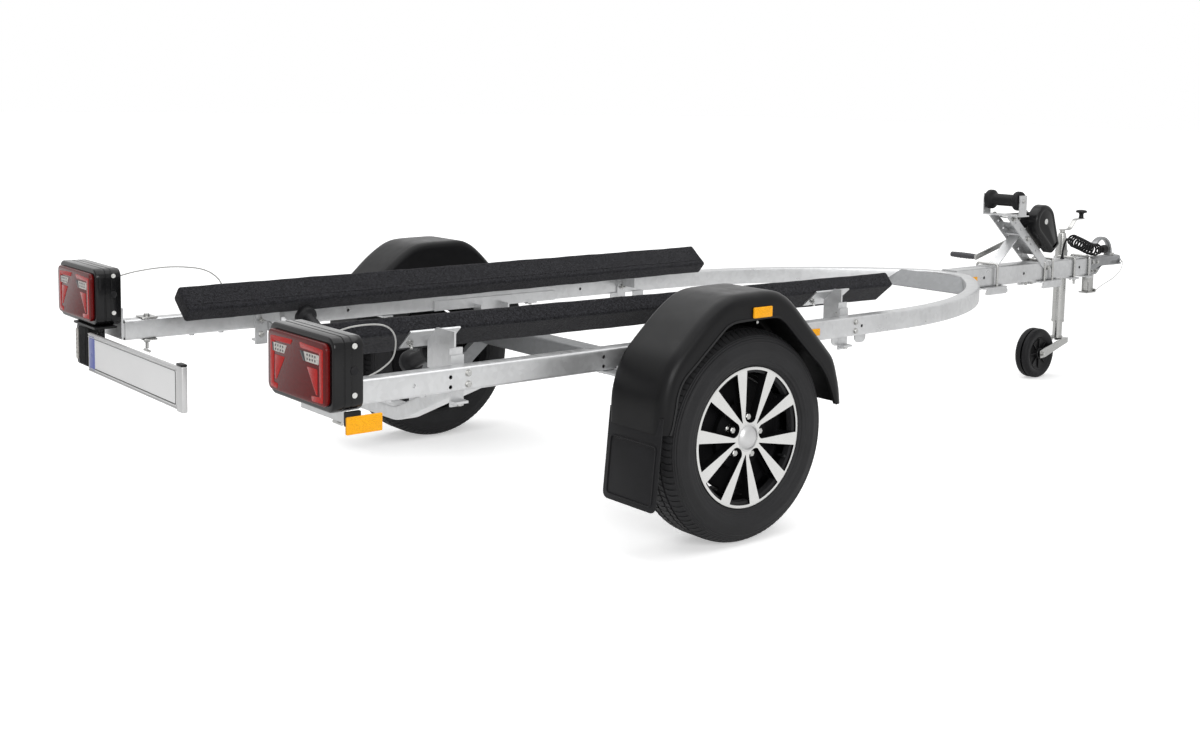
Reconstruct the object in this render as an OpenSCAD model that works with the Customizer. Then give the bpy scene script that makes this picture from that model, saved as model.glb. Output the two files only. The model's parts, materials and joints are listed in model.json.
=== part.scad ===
// Single-axle boat trailer with carpeted bunks, a winch post and a jockey wheel.
// Millimetres, +X towards the tow ball, +Y to the left, +Z up, standing on Z = 0.
// Every X below is measured from the axle and every Y from the centre line.

/* [Overall] */
// Distance from the axle to the coupling's nose
axle_to_nose = 3250; // [2700:10:3900]
// Distance from the axle back to the number plate
rear_overhang = 1300; // [1250:10:1600]
// Width over the two side rails
frame_w = 1200; // [1100:10:1440]
// Height of the rails' underside above the wheel centres
rail_rise = 180; // [170:5:230]

/* [Frame] */
// Width of a rail across the trailer
rail_w = 50; // [40:1:60]
// Height of a rail
rail_h = 60; // [50:1:80]
// Wall of a rail
rail_wall = 3; // [2:0.5:5]
// Distance from the axle to the start of the curved front
bow_start = 920; // [900:10:1000]
// Length of the curved front, from its start to its nose
bow_l = 1080; // [1000:10:1200]
// Turn of the long arc of the curved front, in degrees
bow_turn = 48; // [46:1:50]
// Width and height of the drawbar tube
drawbar_s = 80; // [70:1:90]
// Wall of the drawbar tube
drawbar_wall = 4; // [3:0.5:6]
// Distance from the axle back to the V-shaped cross beam
cross_x = 708; // [680:1:760]
// Width of the cross beam along the trailer
cross_w = 60; // [50:1:70]
// Height of the cross beam
cross_h = 40; // [30:1:50]
// Slope of the cross beam's arms, in degrees
cross_slope = 24; // [18:1:26]
// Half length of the cross beam's level middle
cross_mid = 220; // [180:5:240]

/* [Wheels] */
// Outer radius of a tyre
tyre_r = 298; // [270:1:358]
// Width of a tyre
tyre_w = 185; // [165:1:205]
// Gap between a rail and its tyre
wheel_gap = 72.5; // [65:0.5:100]
// Radius of the rim's bead seat
seat_r = 178; // [165:1:190]
// Radius of the wheel bolt circle
bolt_circle_r = 56; // [50:1:57]
// Number of spokes in a rim
spokes = 10; // [6:1:12]
// Side of the square axle tube
axle_s = 70; // [60:1:80]
// Radius of a stub axle
stub_r = 20; // [17:0.5:24]

/* [Mudguards] */
// Highest clearance between a tyre and its mudguard
guard_gap = 106; // [90:1:120]
// Wall of a mudguard
guard_wall = 4; // [3:0.5:6]
// Height of a mud flap
flap_h = 248; // [200:1:260]

/* [Bunks] */
// Length of a bunk
bunk_l = 2130; // [1900:10:2200]
// Width of a bunk board
bunk_w = 94; // [80:1:110]
// Thickness of a bunk board
bunk_t = 50; // [40:1:60]
// Tilt of a bunk towards the middle, in degrees
bunk_tilt = 40; // [30:1:45]
// Distance from the centre line to a bunk's top edge, at its middle
bunk_y = 437; // [425:1:450]

/* [Winch] */
// Width of the flat sides of the winch post
post_w = 40; // [30:1:50]
// Radius of the bow roller's rims
bow_roller_r = 40; // [34:0.5:44]
// Length of the bow roller
bow_roller_l = 165; // [120:1:170]
// Radius of the winch crank
crank_r = 274; // [220:1:280]

/* [Jockey wheel] */
// Outer radius of the jockey stand's outer tube
stand_r = 27; // [24:0.5:30]
// Outer radius of the sliding inner leg
leg_r = 20.5; // [17:0.5:22]
// Radius of the jockey wheel
jockey_r = 110; // [90:1:120]
// Width of the jockey wheel
jockey_w = 64; // [50:1:70]

/* [Lights] */
// Width of a light box
light_w = 300; // [260:5:320]
// Height of a light box
light_h = 168; // [150:1:180]
// Depth of a light box
light_d = 88; // [80:1:100]
// Length of the number plate's holder
plate_l = 660; // [560:5:660]
// Height of the number plate
plate_h = 112; // [100:1:120]

/* [Hidden] */
$fn = 48;

// How far a face lies off the piece that carries it, where the two aren't flat
seat_gap = 0.3;
// Running clearance of a shaft in its bore, on the radius
run_gap = 0.05;
// Least clearance round a part that moves
move_gap = 6;
// A cutter's overrun past the face that it opens
over = 1;

axle_x = (rear_overhang - axle_to_nose) / 2;
half_w = frame_w / 2;
rail_z = tyre_r + rail_rise;
rail_top = rail_z + rail_h;
rail_mid_y = half_w - rail_w / 2;
rail_rear = 110 - rear_overhang;
bow_tip = bow_start + bow_l;

// The curved front: a long arc that turns by bow_turn, then a short one to the centre line
bow_c = cos(bow_turn);
bow_s = sin(bow_turn);
bow_r2 = (half_w - bow_l * (1 - bow_c) / bow_s) / (bow_c - (1 - bow_c) * (1 - bow_s) / bow_s);
bow_r1 = (bow_l - bow_r2 * (1 - bow_s)) / bow_s;
bow_y1 = half_w - bow_r1;
bow_x2 = bow_tip - bow_r2;

drawbar_z = rail_z - 15;
drawbar_top = drawbar_z + drawbar_s;
drawbar_half = drawbar_s / 2;
drawbar_end = axle_to_nose - 285;

// Wheels, axle and hubs
tyre_y = half_w + wheel_gap + tyre_w / 2;
tyre_in = tyre_y - tyre_w / 2;
tyre_out = tyre_y + tyre_w / 2;
rim_half = 78;
rim_wall = 6;
flange_r = seat_r + 18;
face_y = tyre_y + 30;
hub_in = tyre_y - 65;
hub_r = 36;
hub_flange_r = bolt_circle_r + 16;
hub_flange_t = 12;
arm_x = 105;
arm_z = tyre_r + 87;
arm_in = half_w - 70;
arm_out = half_w - 40;
axle_half = arm_in - 8;

// Mudguards
guard_in = tyre_in - 12.5;
guard_out = tyre_out + 17.5;
guard_top = 2 * tyre_r + guard_gap;
guard_half = tyre_r + 54;
guard_low = tyre_r + 56;
flap_t = 8;
stay_x = 300;
stay_w = 40;

// Bunks
bunk_mid = -65;
bunk_spread = 2;
bunk_top = rail_top + 112;
post_x = [-cross_x - cross_w / 2 - 22, 715];
bunk_post_w = 40;
bunk_post_t = 6;
bunk_post_y = half_w - rail_w - bunk_post_t / 2;

// Hull rollers on the cross beam
cross_top = rail_top - 27;
hull_roller_l = 140;
hull_roller_r = 34;
hull_pin_r = 8;
hull_roller_y = 300;
hull_roller_z = rail_top - 26;

// Winch, its post and the bow roller
post_t = 5;
post_foot = [2620, drawbar_top - 23];
post_head = [2336, drawbar_top + 209];
post_run = post_head - post_foot;
post_angle = atan2(post_run[1], post_run[0]);
post_len = norm(post_run);
drum_at = [2535, drawbar_top + 180];
pinion_at = [2585, drawbar_top + 91];
drum_r = 30;
drum_flange_r = 46;
drum_half = 30;
cheek_y = 34;
cheek_t = 4;
roller_at = [2352, drawbar_top + 272];
roller_pin_r = 8;
roller_arm_y = bow_roller_l / 2 + 3;
roller_arm_t = 5;
roller_arm_w = 48;
crank_y = roller_arm_y + roller_arm_t + 10;
crank_t = 8;
strap_w = 45;
strap_t = 3;

// Jockey stand
stand_x = axle_to_nose - 302;
stand_y = drawbar_half + 60;
stand_low = rail_z - 242;
stand_high = rail_top + 30;
leg_low = jockey_r + 62;
fork_reach = 172;
fork_t = 5;
jockey_pin_r = 8;

// Coupling
head_half = 31;
nose_r = 36;
neck_low = drawbar_z + 34;
neck_top = drawbar_z + 74;
socket_r = 25;
socket_depth = 30;

// Lights and number plate
light_rear = 12 - rear_overhang;
light_low = rail_z + 48;
light_out = tyre_out - 12;
lens_t = 12;

// Everything is drawn from the axle and then moved so that X = 0 is the middle of the length.
module from_axle() {
    translate([axle_x, 0, 0]) children();
}

// The same piece on the right-hand side
module on_right() {
    mirror([0, 1, 0]) children();
}

module on_both_sides() {
    children();
    on_right() children();
}

// A cylinder along Y from y0 to y1
module bar_y(r, x, z, y0, y1) {
    translate([x, y0, z]) rotate([-90, 0, 0]) cylinder(r = r, h = y1 - y0);
}

// A plate in an XZ outline, from y0 to y1
module plate_y(y0, y1) {
    translate([0, y1, 0]) rotate([90, 0, 0]) linear_extrude(y1 - y0) children();
}

// An axis-aligned box between two corners
module box(low, high) {
    translate(low) cube(high - low);
}

// A rectangular tube along X
module tube_x(x0, x1, y, z, w, h, wall) {
    difference() {
        box([x0, y - w / 2, z], [x1, y + w / 2, z + h]);
        box([x0 - over, y - w / 2 + wall, z + wall], [x1 + over, y + w / 2 - wall, z + h - wall]);
    }
}

module rail() {
    difference() {
        tube_x(rail_rear, bow_start, rail_mid_y, rail_z, rail_w, rail_h, rail_wall);
        for (x = [-813, -319], z = [14, 39])
            bar_y(5, x, rail_z + z, half_w - rail_wall - over, half_w + over);
    }
}

module rail_left() {
    color("silver") from_axle() rail();
}

module rail_right() {
    color("silver") from_axle() on_right() rail();
}

// The part of a ring between two angles, from the inner to the outer radius
module ring_sector(r_in, r_out, from_deg, to_deg) {
    far = r_out / cos((to_deg - from_deg) / 2) + 10;
    intersection() {
        difference() {
            circle(r = r_out, $fn = 120);
            circle(r = r_in, $fn = 120);
        }
        polygon([[0, 0], [far * cos(from_deg), far * sin(from_deg)], [far * cos(to_deg), far * sin(to_deg)]]);
    }
}

// Half of the curved front, as far in from its outer face as inset_a to inset_b
module bow_plan(inset_a, inset_b) {
    translate([bow_start, bow_y1])
        ring_sector(bow_r1 - inset_b, bow_r1 - inset_a, 90 - bow_turn, 90);
    translate([bow_x2, 0])
        ring_sector(bow_r2 - inset_b, bow_r2 - inset_a, 0, 90 - bow_turn);
}

module bow() {
    difference() {
        translate([0, 0, rail_z]) linear_extrude(rail_h) bow_plan(0, rail_w);
        translate([0, 0, rail_z + rail_wall])
            linear_extrude(rail_h - 2 * rail_wall) bow_plan(rail_wall, rail_w - rail_wall);
    }
}

module bow_left() {
    color("silver") from_axle() bow();
}

module bow_right() {
    color("silver") from_axle() on_right() bow();
}

// Plan of the space inside the nose, a gap short of the inner walls
module nose_space() {
    inner_2 = bow_r2 - rail_w - seat_gap;
    inner_1 = bow_r1 - rail_w - seat_gap;
    tangent_x = bow_x2 + inner_2 * bow_s;
    translate([bow_x2, 0]) circle(r = inner_2, $fn = 120);
    intersection() {
        translate([bow_start, bow_y1]) circle(r = inner_1, $fn = 120);
        translate([bow_start, -bow_y1]) circle(r = inner_1, $fn = 120);
        translate([bow_start, -half_w]) square([tangent_x - bow_start, frame_w]);
    }
}

// A sloping plate that closes the inside of the nose, cut to the curve of the inner wall
module nose_gusset() {
    gusset_t = 5;
    color("silver") from_axle() intersection() {
        translate([0, 0, rail_z]) linear_extrude(rail_h) nose_space();
        translate([bow_x2 + 34, 0, rail_z]) rotate([0, -45, 0])
            box([0, -half_w, 0], [rail_h * 2, half_w, gusset_t]);
    }
}

module drawbar() {
    color("silver") from_axle() difference() {
        tube_x(bow_x2, drawbar_end, 0, drawbar_z, drawbar_s, drawbar_s, drawbar_wall);
        translate([bow_x2, 0, drawbar_z - over])
            cylinder(r = bow_r2 + seat_gap, h = drawbar_s + 2 * over, $fn = 120);
    }
}

// Middle height of the cross beam's top at a distance from the centre line
function cross_top_at(y) = cross_top - (half_w - rail_w - max(y, cross_mid)) * tan(cross_slope);

module cross_beam() {
    y_end = half_w - rail_w - seat_gap;
    drop = cross_h / cos(cross_slope);
    outline = [[-y_end, cross_top_at(y_end)], [-cross_mid, cross_top_at(0)],
        [cross_mid, cross_top_at(0)], [y_end, cross_top_at(y_end)],
        [y_end, cross_top_at(y_end) - drop], [cross_mid, cross_top_at(0) - cross_h],
        [-cross_mid, cross_top_at(0) - cross_h], [-y_end, cross_top_at(y_end) - drop]];
    color("silver") from_axle() translate([-cross_x - cross_w / 2, 0, 0])
        rotate([90, 0, 90]) linear_extrude(cross_w) polygon(outline);
}

module axle_tube() {
    color("darkgray") from_axle() difference() {
        box([arm_x - axle_s / 2, -axle_half, arm_z - axle_s / 2],
            [arm_x + axle_s / 2, axle_half, arm_z + axle_s / 2]);
        box([arm_x - axle_s / 2 + 5, -axle_half - over, arm_z - axle_s / 2 + 5],
            [arm_x + axle_s / 2 - 5, axle_half + over, arm_z + axle_s / 2 - 5]);
    }
}

// A welded seat between the axle tube and the rail, with a strip along the rail's inner wall
module axle_brackets() {
    y0 = half_w - rail_w - 46;
    z0 = arm_z + axle_s / 2;
    strip_y = half_w - rail_w;
    color("silver") from_axle() on_both_sides() {
        difference() {
            box([arm_x - 60, y0, z0], [arm_x + 60, strip_y, rail_z + 12]);
            box([arm_x - 54, y0 - over, z0 + 6], [arm_x + 54, strip_y - 6, rail_z + 12 + over]);
        }
        box([arm_x - 225, strip_y - 6, rail_z], [arm_x + 295, strip_y, rail_z + 34]);
    }
}

// A trailing arm with its stub axle
module axle_arms() {
    pivot = [arm_x, arm_z];
    stub = [0, tyre_r];
    u = unit(stub - pivot);
    n = 24 * [-u[1], u[0]];
    color("dimgray") from_axle() on_both_sides() {
        bar_y(axle_s / 2 - 1, arm_x, arm_z, arm_in, arm_out);
        bar_y(30, 0, tyre_r, arm_in, arm_out);
        plate_y(arm_in + 2, arm_out - 2)
            polygon([pivot + 9 * u + n, stub - 7 * u + n, stub - 7 * u - n, pivot + 9 * u - n]);
        bar_y(stub_r, 0, tyre_r, arm_in + 10, face_y - 4);
        bar_y(axle_s / 2 - 5 - seat_gap, arm_x, arm_z, axle_half - 30, arm_in + 10);
    }
}

module hub() {
    difference() {
        union() {
            bar_y(hub_r, 0, tyre_r, hub_in, face_y - hub_flange_t);
            bar_y(hub_flange_r, 0, tyre_r, face_y - hub_flange_t, face_y);
        }
        bar_y(stub_r + run_gap, 0, tyre_r, hub_in - over, face_y + over);
    }
}

module hub_left() {
    color("dimgray") from_axle() hub();
}

module hub_right() {
    color("dimgray") from_axle() on_right() hub();
}

// Spins an outline of [radius, y] points about the wheel's axle
module spin_profile(x, y, z) {
    translate([x, y, z]) rotate([-90, 0, 0]) rotate_extrude($fn = 120) children();
}

// One spoke as a tapered plate, pointing up
module spoke() {
    plate_y(face_y + 12, face_y + 34)
        polygon([[-9, 50], [9, 50], [17, seat_r - 3], [-17, seat_r - 3]]);
}

module rim() {
    well_r = seat_r - 18;
    spin_profile(0, tyre_y, tyre_r) polygon([
        [flange_r, -rim_half], [flange_r, 5 - rim_half], [seat_r, 10 - rim_half], [seat_r, -22],
        [well_r, -14], [well_r, 14], [seat_r, 30], [seat_r, rim_half - 10],
        [flange_r, rim_half - 5], [flange_r, rim_half], [seat_r - rim_wall, rim_half],
        [seat_r - rim_wall, 30], [well_r - rim_wall, 14], [well_r - rim_wall, -14],
        [seat_r - rim_wall, -22], [seat_r - rim_wall, -rim_half]]);
    translate([0, 0, tyre_r]) for (i = [0:spokes - 1]) rotate([0, i * 360 / spokes, 0]) spoke();
    difference() {
        bar_y(bolt_circle_r + 14, 0, tyre_r, face_y, face_y + 26);
        for (i = [0:4])
            translate([0, 0, tyre_r]) rotate([0, i * 72, 0])
                bar_y(7, 0, bolt_circle_r, face_y - over, face_y + 27);
    }
    bar_y(35, 0, tyre_r, face_y + 25, face_y + 36);
}

module rim_left() {
    color("silver") from_axle() rim();
}

module rim_right() {
    color("silver") from_axle() on_right() rim();
}

module tyre() {
    w = tyre_w / 2;
    bead = rim_half - 10;
    spin_profile(0, tyre_y, tyre_r) polygon([
        [seat_r + seat_gap, 1 - bead], [flange_r + 1, -bead - 4], [flange_r + 6, -bead - 8],
        [seat_r + (tyre_r - seat_r) * 0.4, -w],
        [tyre_r - 34, -w + 4], [tyre_r - 14, -w + 14], [tyre_r - 4, -w + 26], [tyre_r, -w + 42],
        [tyre_r, w - 42], [tyre_r - 4, w - 26], [tyre_r - 14, w - 14], [tyre_r - 34, w - 4],
        [seat_r + (tyre_r - seat_r) * 0.4, w], [flange_r + 6, bead + 8], [flange_r + 1, bead + 4],
        [seat_r + seat_gap, bead - 1],
        [seat_r + seat_gap, bead - 18], [seat_r + 45, w - 14], [tyre_r - 22, w - 26],
        [tyre_r - 22, -w + 26], [seat_r + 45, -w + 14], [seat_r + seat_gap, -bead + 18]]);
}

module tyre_left() {
    color("black") from_axle() tyre();
}

module tyre_right() {
    color("black") from_axle() on_right() tyre();
}

// Side view of a mudguard, drawn in by a distance from its outer face
module guard_plan(inset) {
    a = guard_half - inset;
    polygon([[-a, guard_low - over * inset], [-a, guard_low + 112 - inset * 0.4],
        [-a + 190, guard_top - 36 - inset], [-a + 258, guard_top - inset],
        [a - 268, guard_top - inset], [a - 188, guard_top - 44 - inset],
        [a - 28, guard_low + 166 - inset], [a, guard_low + 106 - inset * 0.4],
        [a, guard_low - over * inset]]);
}

// The opening in a mudguard's side, which follows the mudguard's outline
module guard_mouth(extra) {
    a = guard_half + extra;
    t = guard_top + extra;
    polygon([[-a + 14, guard_low - 4], [-a + 44, guard_low + 20], [-a + 60, guard_low + 100],
        [-a + 80, guard_low + 142], [-a + 222, t - 88], [-a + 258, t - 74],
        [a - 296, t - 74], [a - 260, t - 88], [a - 139, guard_low + 151], [a - 90, guard_low + 112],
        [a - 56, guard_low + 51], [a - 14, guard_low - 4]]);
}

module mudguard() {
    difference() {
        plate_y(guard_in, guard_out) guard_plan(0);
        plate_y(guard_in + guard_wall, guard_out - guard_wall) guard_plan(guard_wall);
        plate_y(guard_out - guard_wall - over, guard_out + over) guard_mouth(0);
        plate_y(guard_in - over, guard_in + guard_wall + over) guard_mouth(6);
    }
}

module mudguard_left() {
    color("#202020") from_axle() mudguard();
}

module mudguard_right() {
    color("#202020") from_axle() on_right() mudguard();
}

// Strips under the rails that reach out to the mudguards' inner sides
module mudguard_stays() {
    color("silver") from_axle() on_both_sides() for (x = [-stay_x, stay_x]) {
        box([x - stay_w / 2, half_w - rail_w, rail_z - 6], [x + stay_w / 2, guard_in, rail_z]);
        box([x - stay_w / 2, guard_in - 5, rail_z - 6], [x + stay_w / 2, guard_in, rail_z + 24]);
    }
}

module mud_flaps() {
    low = guard_low + 46 - flap_h;
    color("#181818") from_axle() on_both_sides()
        box([-guard_half - flap_t, guard_in + 4, low], [-guard_half, guard_out - 2, low + flap_h]);
}

// A bunk board: a tilted rectangle carried along the rail, with its ends cut back below
module bunk() {
    chop = 62;
    translate([bunk_mid, bunk_y, bunk_top]) rotate([0, 0, bunk_spread]) rotate([bunk_tilt, 0, 0])
        translate([0, 0, -bunk_t]) rotate([90, 0, 0]) linear_extrude(bunk_w)
            polygon([[-bunk_l / 2, bunk_t * 0.55], [-bunk_l / 2 + chop, 0], [bunk_l / 2 - chop, 0],
                [bunk_l / 2, bunk_t * 0.55], [bunk_l / 2 - 16, bunk_t], [-bunk_l / 2 + 16, bunk_t]]);
}

module bunk_left() {
    color("#2a2a2c") from_axle() bunk();
}

module bunk_right() {
    color("#2a2a2c") from_axle() on_right() bunk();
}

// How far out the bunk's underside edge is, and its height, at an X
function bunk_edge_y(x) = bunk_y + (x - bunk_mid) * tan(bunk_spread) + bunk_t * sin(bunk_tilt);
function bunk_edge_z() = bunk_top - bunk_t * cos(bunk_tilt);

// Flat uprights bolted to the inner walls of the rails
module bunk_posts() {
    y1 = half_w - rail_w;
    color("silver") from_axle() on_both_sides() for (x = post_x) {
        box([x - bunk_post_w / 2, y1 - bunk_post_t, rail_z - 50], [x + bunk_post_w / 2, y1, rail_top + 22]);
        box([x - bunk_post_w / 2, y1, rail_z - 40], [x + bunk_post_w / 2, y1 + 22, rail_z - 34]);
    }
}

// Tilted plates under the bunks, with a tab that is bolted to the upright
module bunk_cradles() {
    plate_len = 150;
    plate_t = 5;
    color("silver") from_axle() on_both_sides() for (x = post_x) {
        edge_y = bunk_edge_y(x);
        translate([x, edge_y, bunk_edge_z()]) rotate([0, 0, bunk_spread]) rotate([bunk_tilt, 0, 0])
            box([-plate_len / 2, -bunk_w + 20, -plate_t - seat_gap], [plate_len / 2, 4, -seat_gap]);
        difference() {
            plate_tab(x);
            translate([x, edge_y, bunk_edge_z()]) rotate([0, 0, bunk_spread]) rotate([bunk_tilt, 0, 0])
                box([-60, -200, -2], [60, 200, 100]);
        }
    }
}

// The tab between a cradle's plate and the upright's inner face
module plate_tab(x) {
    y1 = half_w - rail_w - bunk_post_t;
    box([x - bunk_post_w / 2, y1 - 6, rail_z + 30], [x + bunk_post_w / 2, y1, rail_top + 40]);
    box([x - 3, bunk_edge_y(x) - 30, rail_z + 30], [x + 3, y1 - 5, rail_top + 80]);
}

// Places a child in the frame of the left hull roller, whose axis follows the beam's arm
module at_hull_roller() {
    translate([-cross_x, hull_roller_y, hull_roller_z]) rotate([cross_slope, 0, 0]) children();
}

// A roller that is waisted between two rims, along Y, with a bore
module waisted_roller(l, r, bore) {
    difference() {
        translate([0, 0, 0]) rotate([-90, 0, 0]) rotate_extrude($fn = 64)
            polygon([[0, -l / 2], [r * 0.7, -l / 2], [r, -l / 2 + r * 0.25], [r, -l / 2 + r * 0.5],
                [r * 0.62, -l / 2 + r * 0.95], [r * 0.62, l / 2 - r * 0.95], [r, l / 2 - r * 0.5],
                [r, l / 2 - r * 0.25], [r * 0.7, l / 2], [0, l / 2]]);
        bar_y(bore, 0, 0, -l / 2 - over, l / 2 + over);
    }
}

module hull_roller() {
    at_hull_roller() waisted_roller(hull_roller_l, hull_roller_r, hull_pin_r + run_gap);
}

module hull_roller_left() {
    color("#1c1c1c") from_axle() hull_roller();
}

module hull_roller_right() {
    color("#1c1c1c") from_axle() on_right() hull_roller();
}

// Cheeks and pin that carry a hull roller above the cross beam's arm
module hull_roller_brackets() {
    cheek = hull_roller_l / 2 + 1;
    drop = (hull_roller_z - cross_top_at(hull_roller_y)) * cos(cross_slope);
    color("silver") from_axle() on_both_sides() at_hull_roller() {
        for (s = [-1, 1]) translate([0, s * (cheek + 2.5), 0]) {
            box([-20, -2.5, -drop + seat_gap], [20, 2.5, 0]);
            bar_y(20, 0, 0, -2.5, 2.5);
        }
        box([-20, -cheek - 5, -drop + seat_gap], [20, cheek + 5, -drop + seat_gap + 5]);
        bar_y(hull_pin_r, 0, 0, -cheek - 8, cheek + 8);
    }
}

// Places a child in the frame of the winch post: X along it from its foot, Z to its front
module at_post() {
    translate([post_foot[0], 0, post_foot[1]]) rotate([0, -post_angle, 0]) mirror([0, 0, 1]) children();
}

module winch_post() {
    y0 = drawbar_half + seat_gap;
    color("silver") from_axle() difference() {
        union() {
            at_post() for (s = [-1, 1])
                box([-30, min(s * y0, s * (y0 + post_t)), -post_w / 2],
                    [post_len + 60, max(s * y0, s * (y0 + post_t)), post_w / 2]);
            at_post() box([62, -y0 - 1, post_w / 2 - 4], [290, y0 + 1, post_w / 2]);
        }
        at_post() for (k = [1:5])
            bar_y(5, 72 + k * 50, 0, -y0 - post_t - over, y0 + post_t + over);
        box([post_head[0] - 120, -100, post_head[1] - 2], [post_head[0] + 120, 100, post_head[1] + 120]);
        box([post_foot[0] - 120, -100, post_foot[1] - 80], [post_foot[0] + 120, 100, post_foot[1] - 4]);
    }
}

module winch_brace() {
    t = 5;
    half = 25;
    foot = [2212, drawbar_top];
    bend = [2290, drawbar_top];
    head = [2440, post_foot[1] + 145];
    rise = atan2(head[1] - bend[1], head[0] - bend[0]);
    color("silver") from_axle() {
        plate_y(-half, half) polygon([foot, bend, head, head + t * [-sin(rise), cos(rise)],
            bend + t * [-tan(rise / 2), 1], foot + [0, t]]);
        bar_y(8, head[0] - 2, head[1] + 2, -drawbar_half, drawbar_half);
    }
}

// The winch's base and two cheeks, on the post's front plate
module winch_frame() {
    color("gainsboro") from_axle() {
        at_post() box([90, -cheek_y - cheek_t, post_w / 2], [240, cheek_y + cheek_t, post_w / 2 + 5]);
        for (s = [-1, 1]) difference() {
            plate_y(min(s * cheek_y, s * (cheek_y + cheek_t)), max(s * cheek_y, s * (cheek_y + cheek_t)))
                cheek_outline();
            bar_y(8 + run_gap, drum_at[0], drum_at[1], -60, 60);
            bar_y(8 + run_gap, pinion_at[0], pinion_at[1], -60, 60);
        }
    }
}

// Side view of a winch cheek, from the base plate up to the drum
module cheek_outline() {
    lift = post_w / 2 + 3;
    n = [sin(post_angle), -cos(post_angle)];
    u = [cos(post_angle), sin(post_angle)];
    low = post_foot + u * 95 + n * lift;
    high = post_foot + u * 235 + n * lift;
    polygon([low, pinion_at + [18, -6], drum_at + [26, 6], drum_at + [6, 26], drum_at + [-20, 18], high]);
}

// Teardrop housing over the winch gears, on the right-hand cheek
module winch_cover() {
    y1 = -cheek_y - cheek_t;
    color("#161616") from_axle() difference() {
        plate_y(y1 - 46, y1 - seat_gap) cover_outline(0);
        plate_y(y1 - 42, y1 + over) cover_outline(4);
        bar_y(9, drum_at[0], drum_at[1], y1 - 60, y1 - 30);
    }
}

module cover_outline(inset) {
    hull() {
        translate(drum_at) circle(r = 70 - inset, $fn = 32);
        translate([2596, drawbar_top + 55]) circle(r = 12 - inset, $fn = 32);
        translate([2633, drawbar_top + 82]) circle(r = 12 - inset, $fn = 32);
    }
}

module winch_drum() {
    color("dimgray") from_axle() {
        bar_y(drum_r, drum_at[0], drum_at[1], -drum_half, drum_half);
        for (s = [-1, 1])
            bar_y(drum_flange_r, drum_at[0], drum_at[1], s * drum_half - 1.5, s * drum_half + 1.5);
        bar_y(8, drum_at[0], drum_at[1], -cheek_y - cheek_t - 6, cheek_y + cheek_t + 4);
    }
}

// The crank arm, its shaft and its lateral grip
module winch_crank() {
    toward = unit([2319, drawbar_top + 24] - pinion_at);
    grip_at = pinion_at + crank_r * toward;
    n = 11 * [-toward[1], toward[0]];
    near = pinion_at + 5 * toward;
    far = grip_at + 12 * toward;
    color("silver") from_axle() {
        bar_y(8, pinion_at[0], pinion_at[1], -cheek_y - cheek_t - 8, crank_y + 4);
        bar_y(14, pinion_at[0], pinion_at[1], crank_y - 6, crank_y + crank_t + 2);
        plate_y(crank_y, crank_y + crank_t) polygon([near + n, far + n, far - n, near - n]);
        bar_y(13, grip_at[0], grip_at[1], crank_y + crank_t - 2, crank_y + crank_t + 125);
    }
}

// The strap from the drum to the bow roller's bracket
module winch_strap() {
    start = [drum_at[0] - 4, drum_at[1] + drum_r + seat_gap];
    end = [roller_at[0] + 34, post_head[1] + 4];
    color("#303033") from_axle() plate_y(-strap_w / 2, strap_w / 2)
        polygon([start, start + [0, strap_t], end + [0, strap_t], end]);
}

module bow_roller_bracket() {
    z0 = post_head[1] - 2;
    x0 = roller_at[0] - roller_arm_w / 2;
    color("silver") from_axle() {
        box([x0, -roller_arm_y - roller_arm_t, z0], [x0 + roller_arm_w + 20, roller_arm_y + roller_arm_t, z0 + 5]);
        for (s = [-1, 1])
            box([x0, min(s * roller_arm_y, s * (roller_arm_y + roller_arm_t)), z0],
                [x0 + roller_arm_w, max(s * roller_arm_y, s * (roller_arm_y + roller_arm_t)),
                    roller_at[1] + 24]);
        bar_y(roller_pin_r, roller_at[0], roller_at[1], -roller_arm_y - roller_arm_t - 4,
            roller_arm_y + roller_arm_t + 4);
    }
}

module bow_roller() {
    color("#1c1c1c") from_axle() translate([roller_at[0], 0, roller_at[1]])
        waisted_roller(bow_roller_l, bow_roller_r, roller_pin_r + run_gap);
}

// A square U-bolt round the drawbar, with the plate that it pulls up against the underside
module drawbar_clamps() {
    rod = 5;
    y = drawbar_half + rod + seat_gap + post_t;
    color("silver") from_axle() for (x = [2250, 2650]) {
        for (s = [-1, 1]) translate([x, s * y, drawbar_z - 28])
            cylinder(r = rod, h = drawbar_s + 28 + rod * 2);
        bar_y(rod, x, drawbar_top + rod + 6, -y, y);
        box([x - 90, -y - 14, drawbar_z - 8], [x + 60, y + 14, drawbar_z]);
        box([x - 90, -y - 14, drawbar_z - 24], [x + 60, -y - 8, drawbar_z]);
    }
}

// Collar on the drawbar's left side that grips the stand's outer tube
module stand_clamp() {
    grip = 6;
    z0 = drawbar_z + 4;
    z1 = drawbar_top - 8;
    color("silver") from_axle() difference() {
        union() {
            translate([stand_x, stand_y, z0]) cylinder(r = stand_r + grip, h = z1 - z0);
            box([stand_x - 52, drawbar_half, z0], [stand_x + 12, stand_y - stand_r + 2, z1]);
        }
        translate([stand_x, stand_y, z0 - over])
            cylinder(r = stand_r + seat_gap, h = z1 - z0 + 2 * over);
    }
}

module stand_tube() {
    color("silver") from_axle() translate([stand_x, stand_y, 0]) difference() {
        union() {
            translate([0, 0, stand_low]) cylinder(r = stand_r, h = stand_high - stand_low);
            translate([0, 0, stand_high]) cylinder(r1 = stand_r, r2 = 15, h = 72);
        }
        translate([0, 0, stand_low - over])
            cylinder(r = leg_r + run_gap, h = stand_high - stand_low + over - 4);
    }
}

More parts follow.
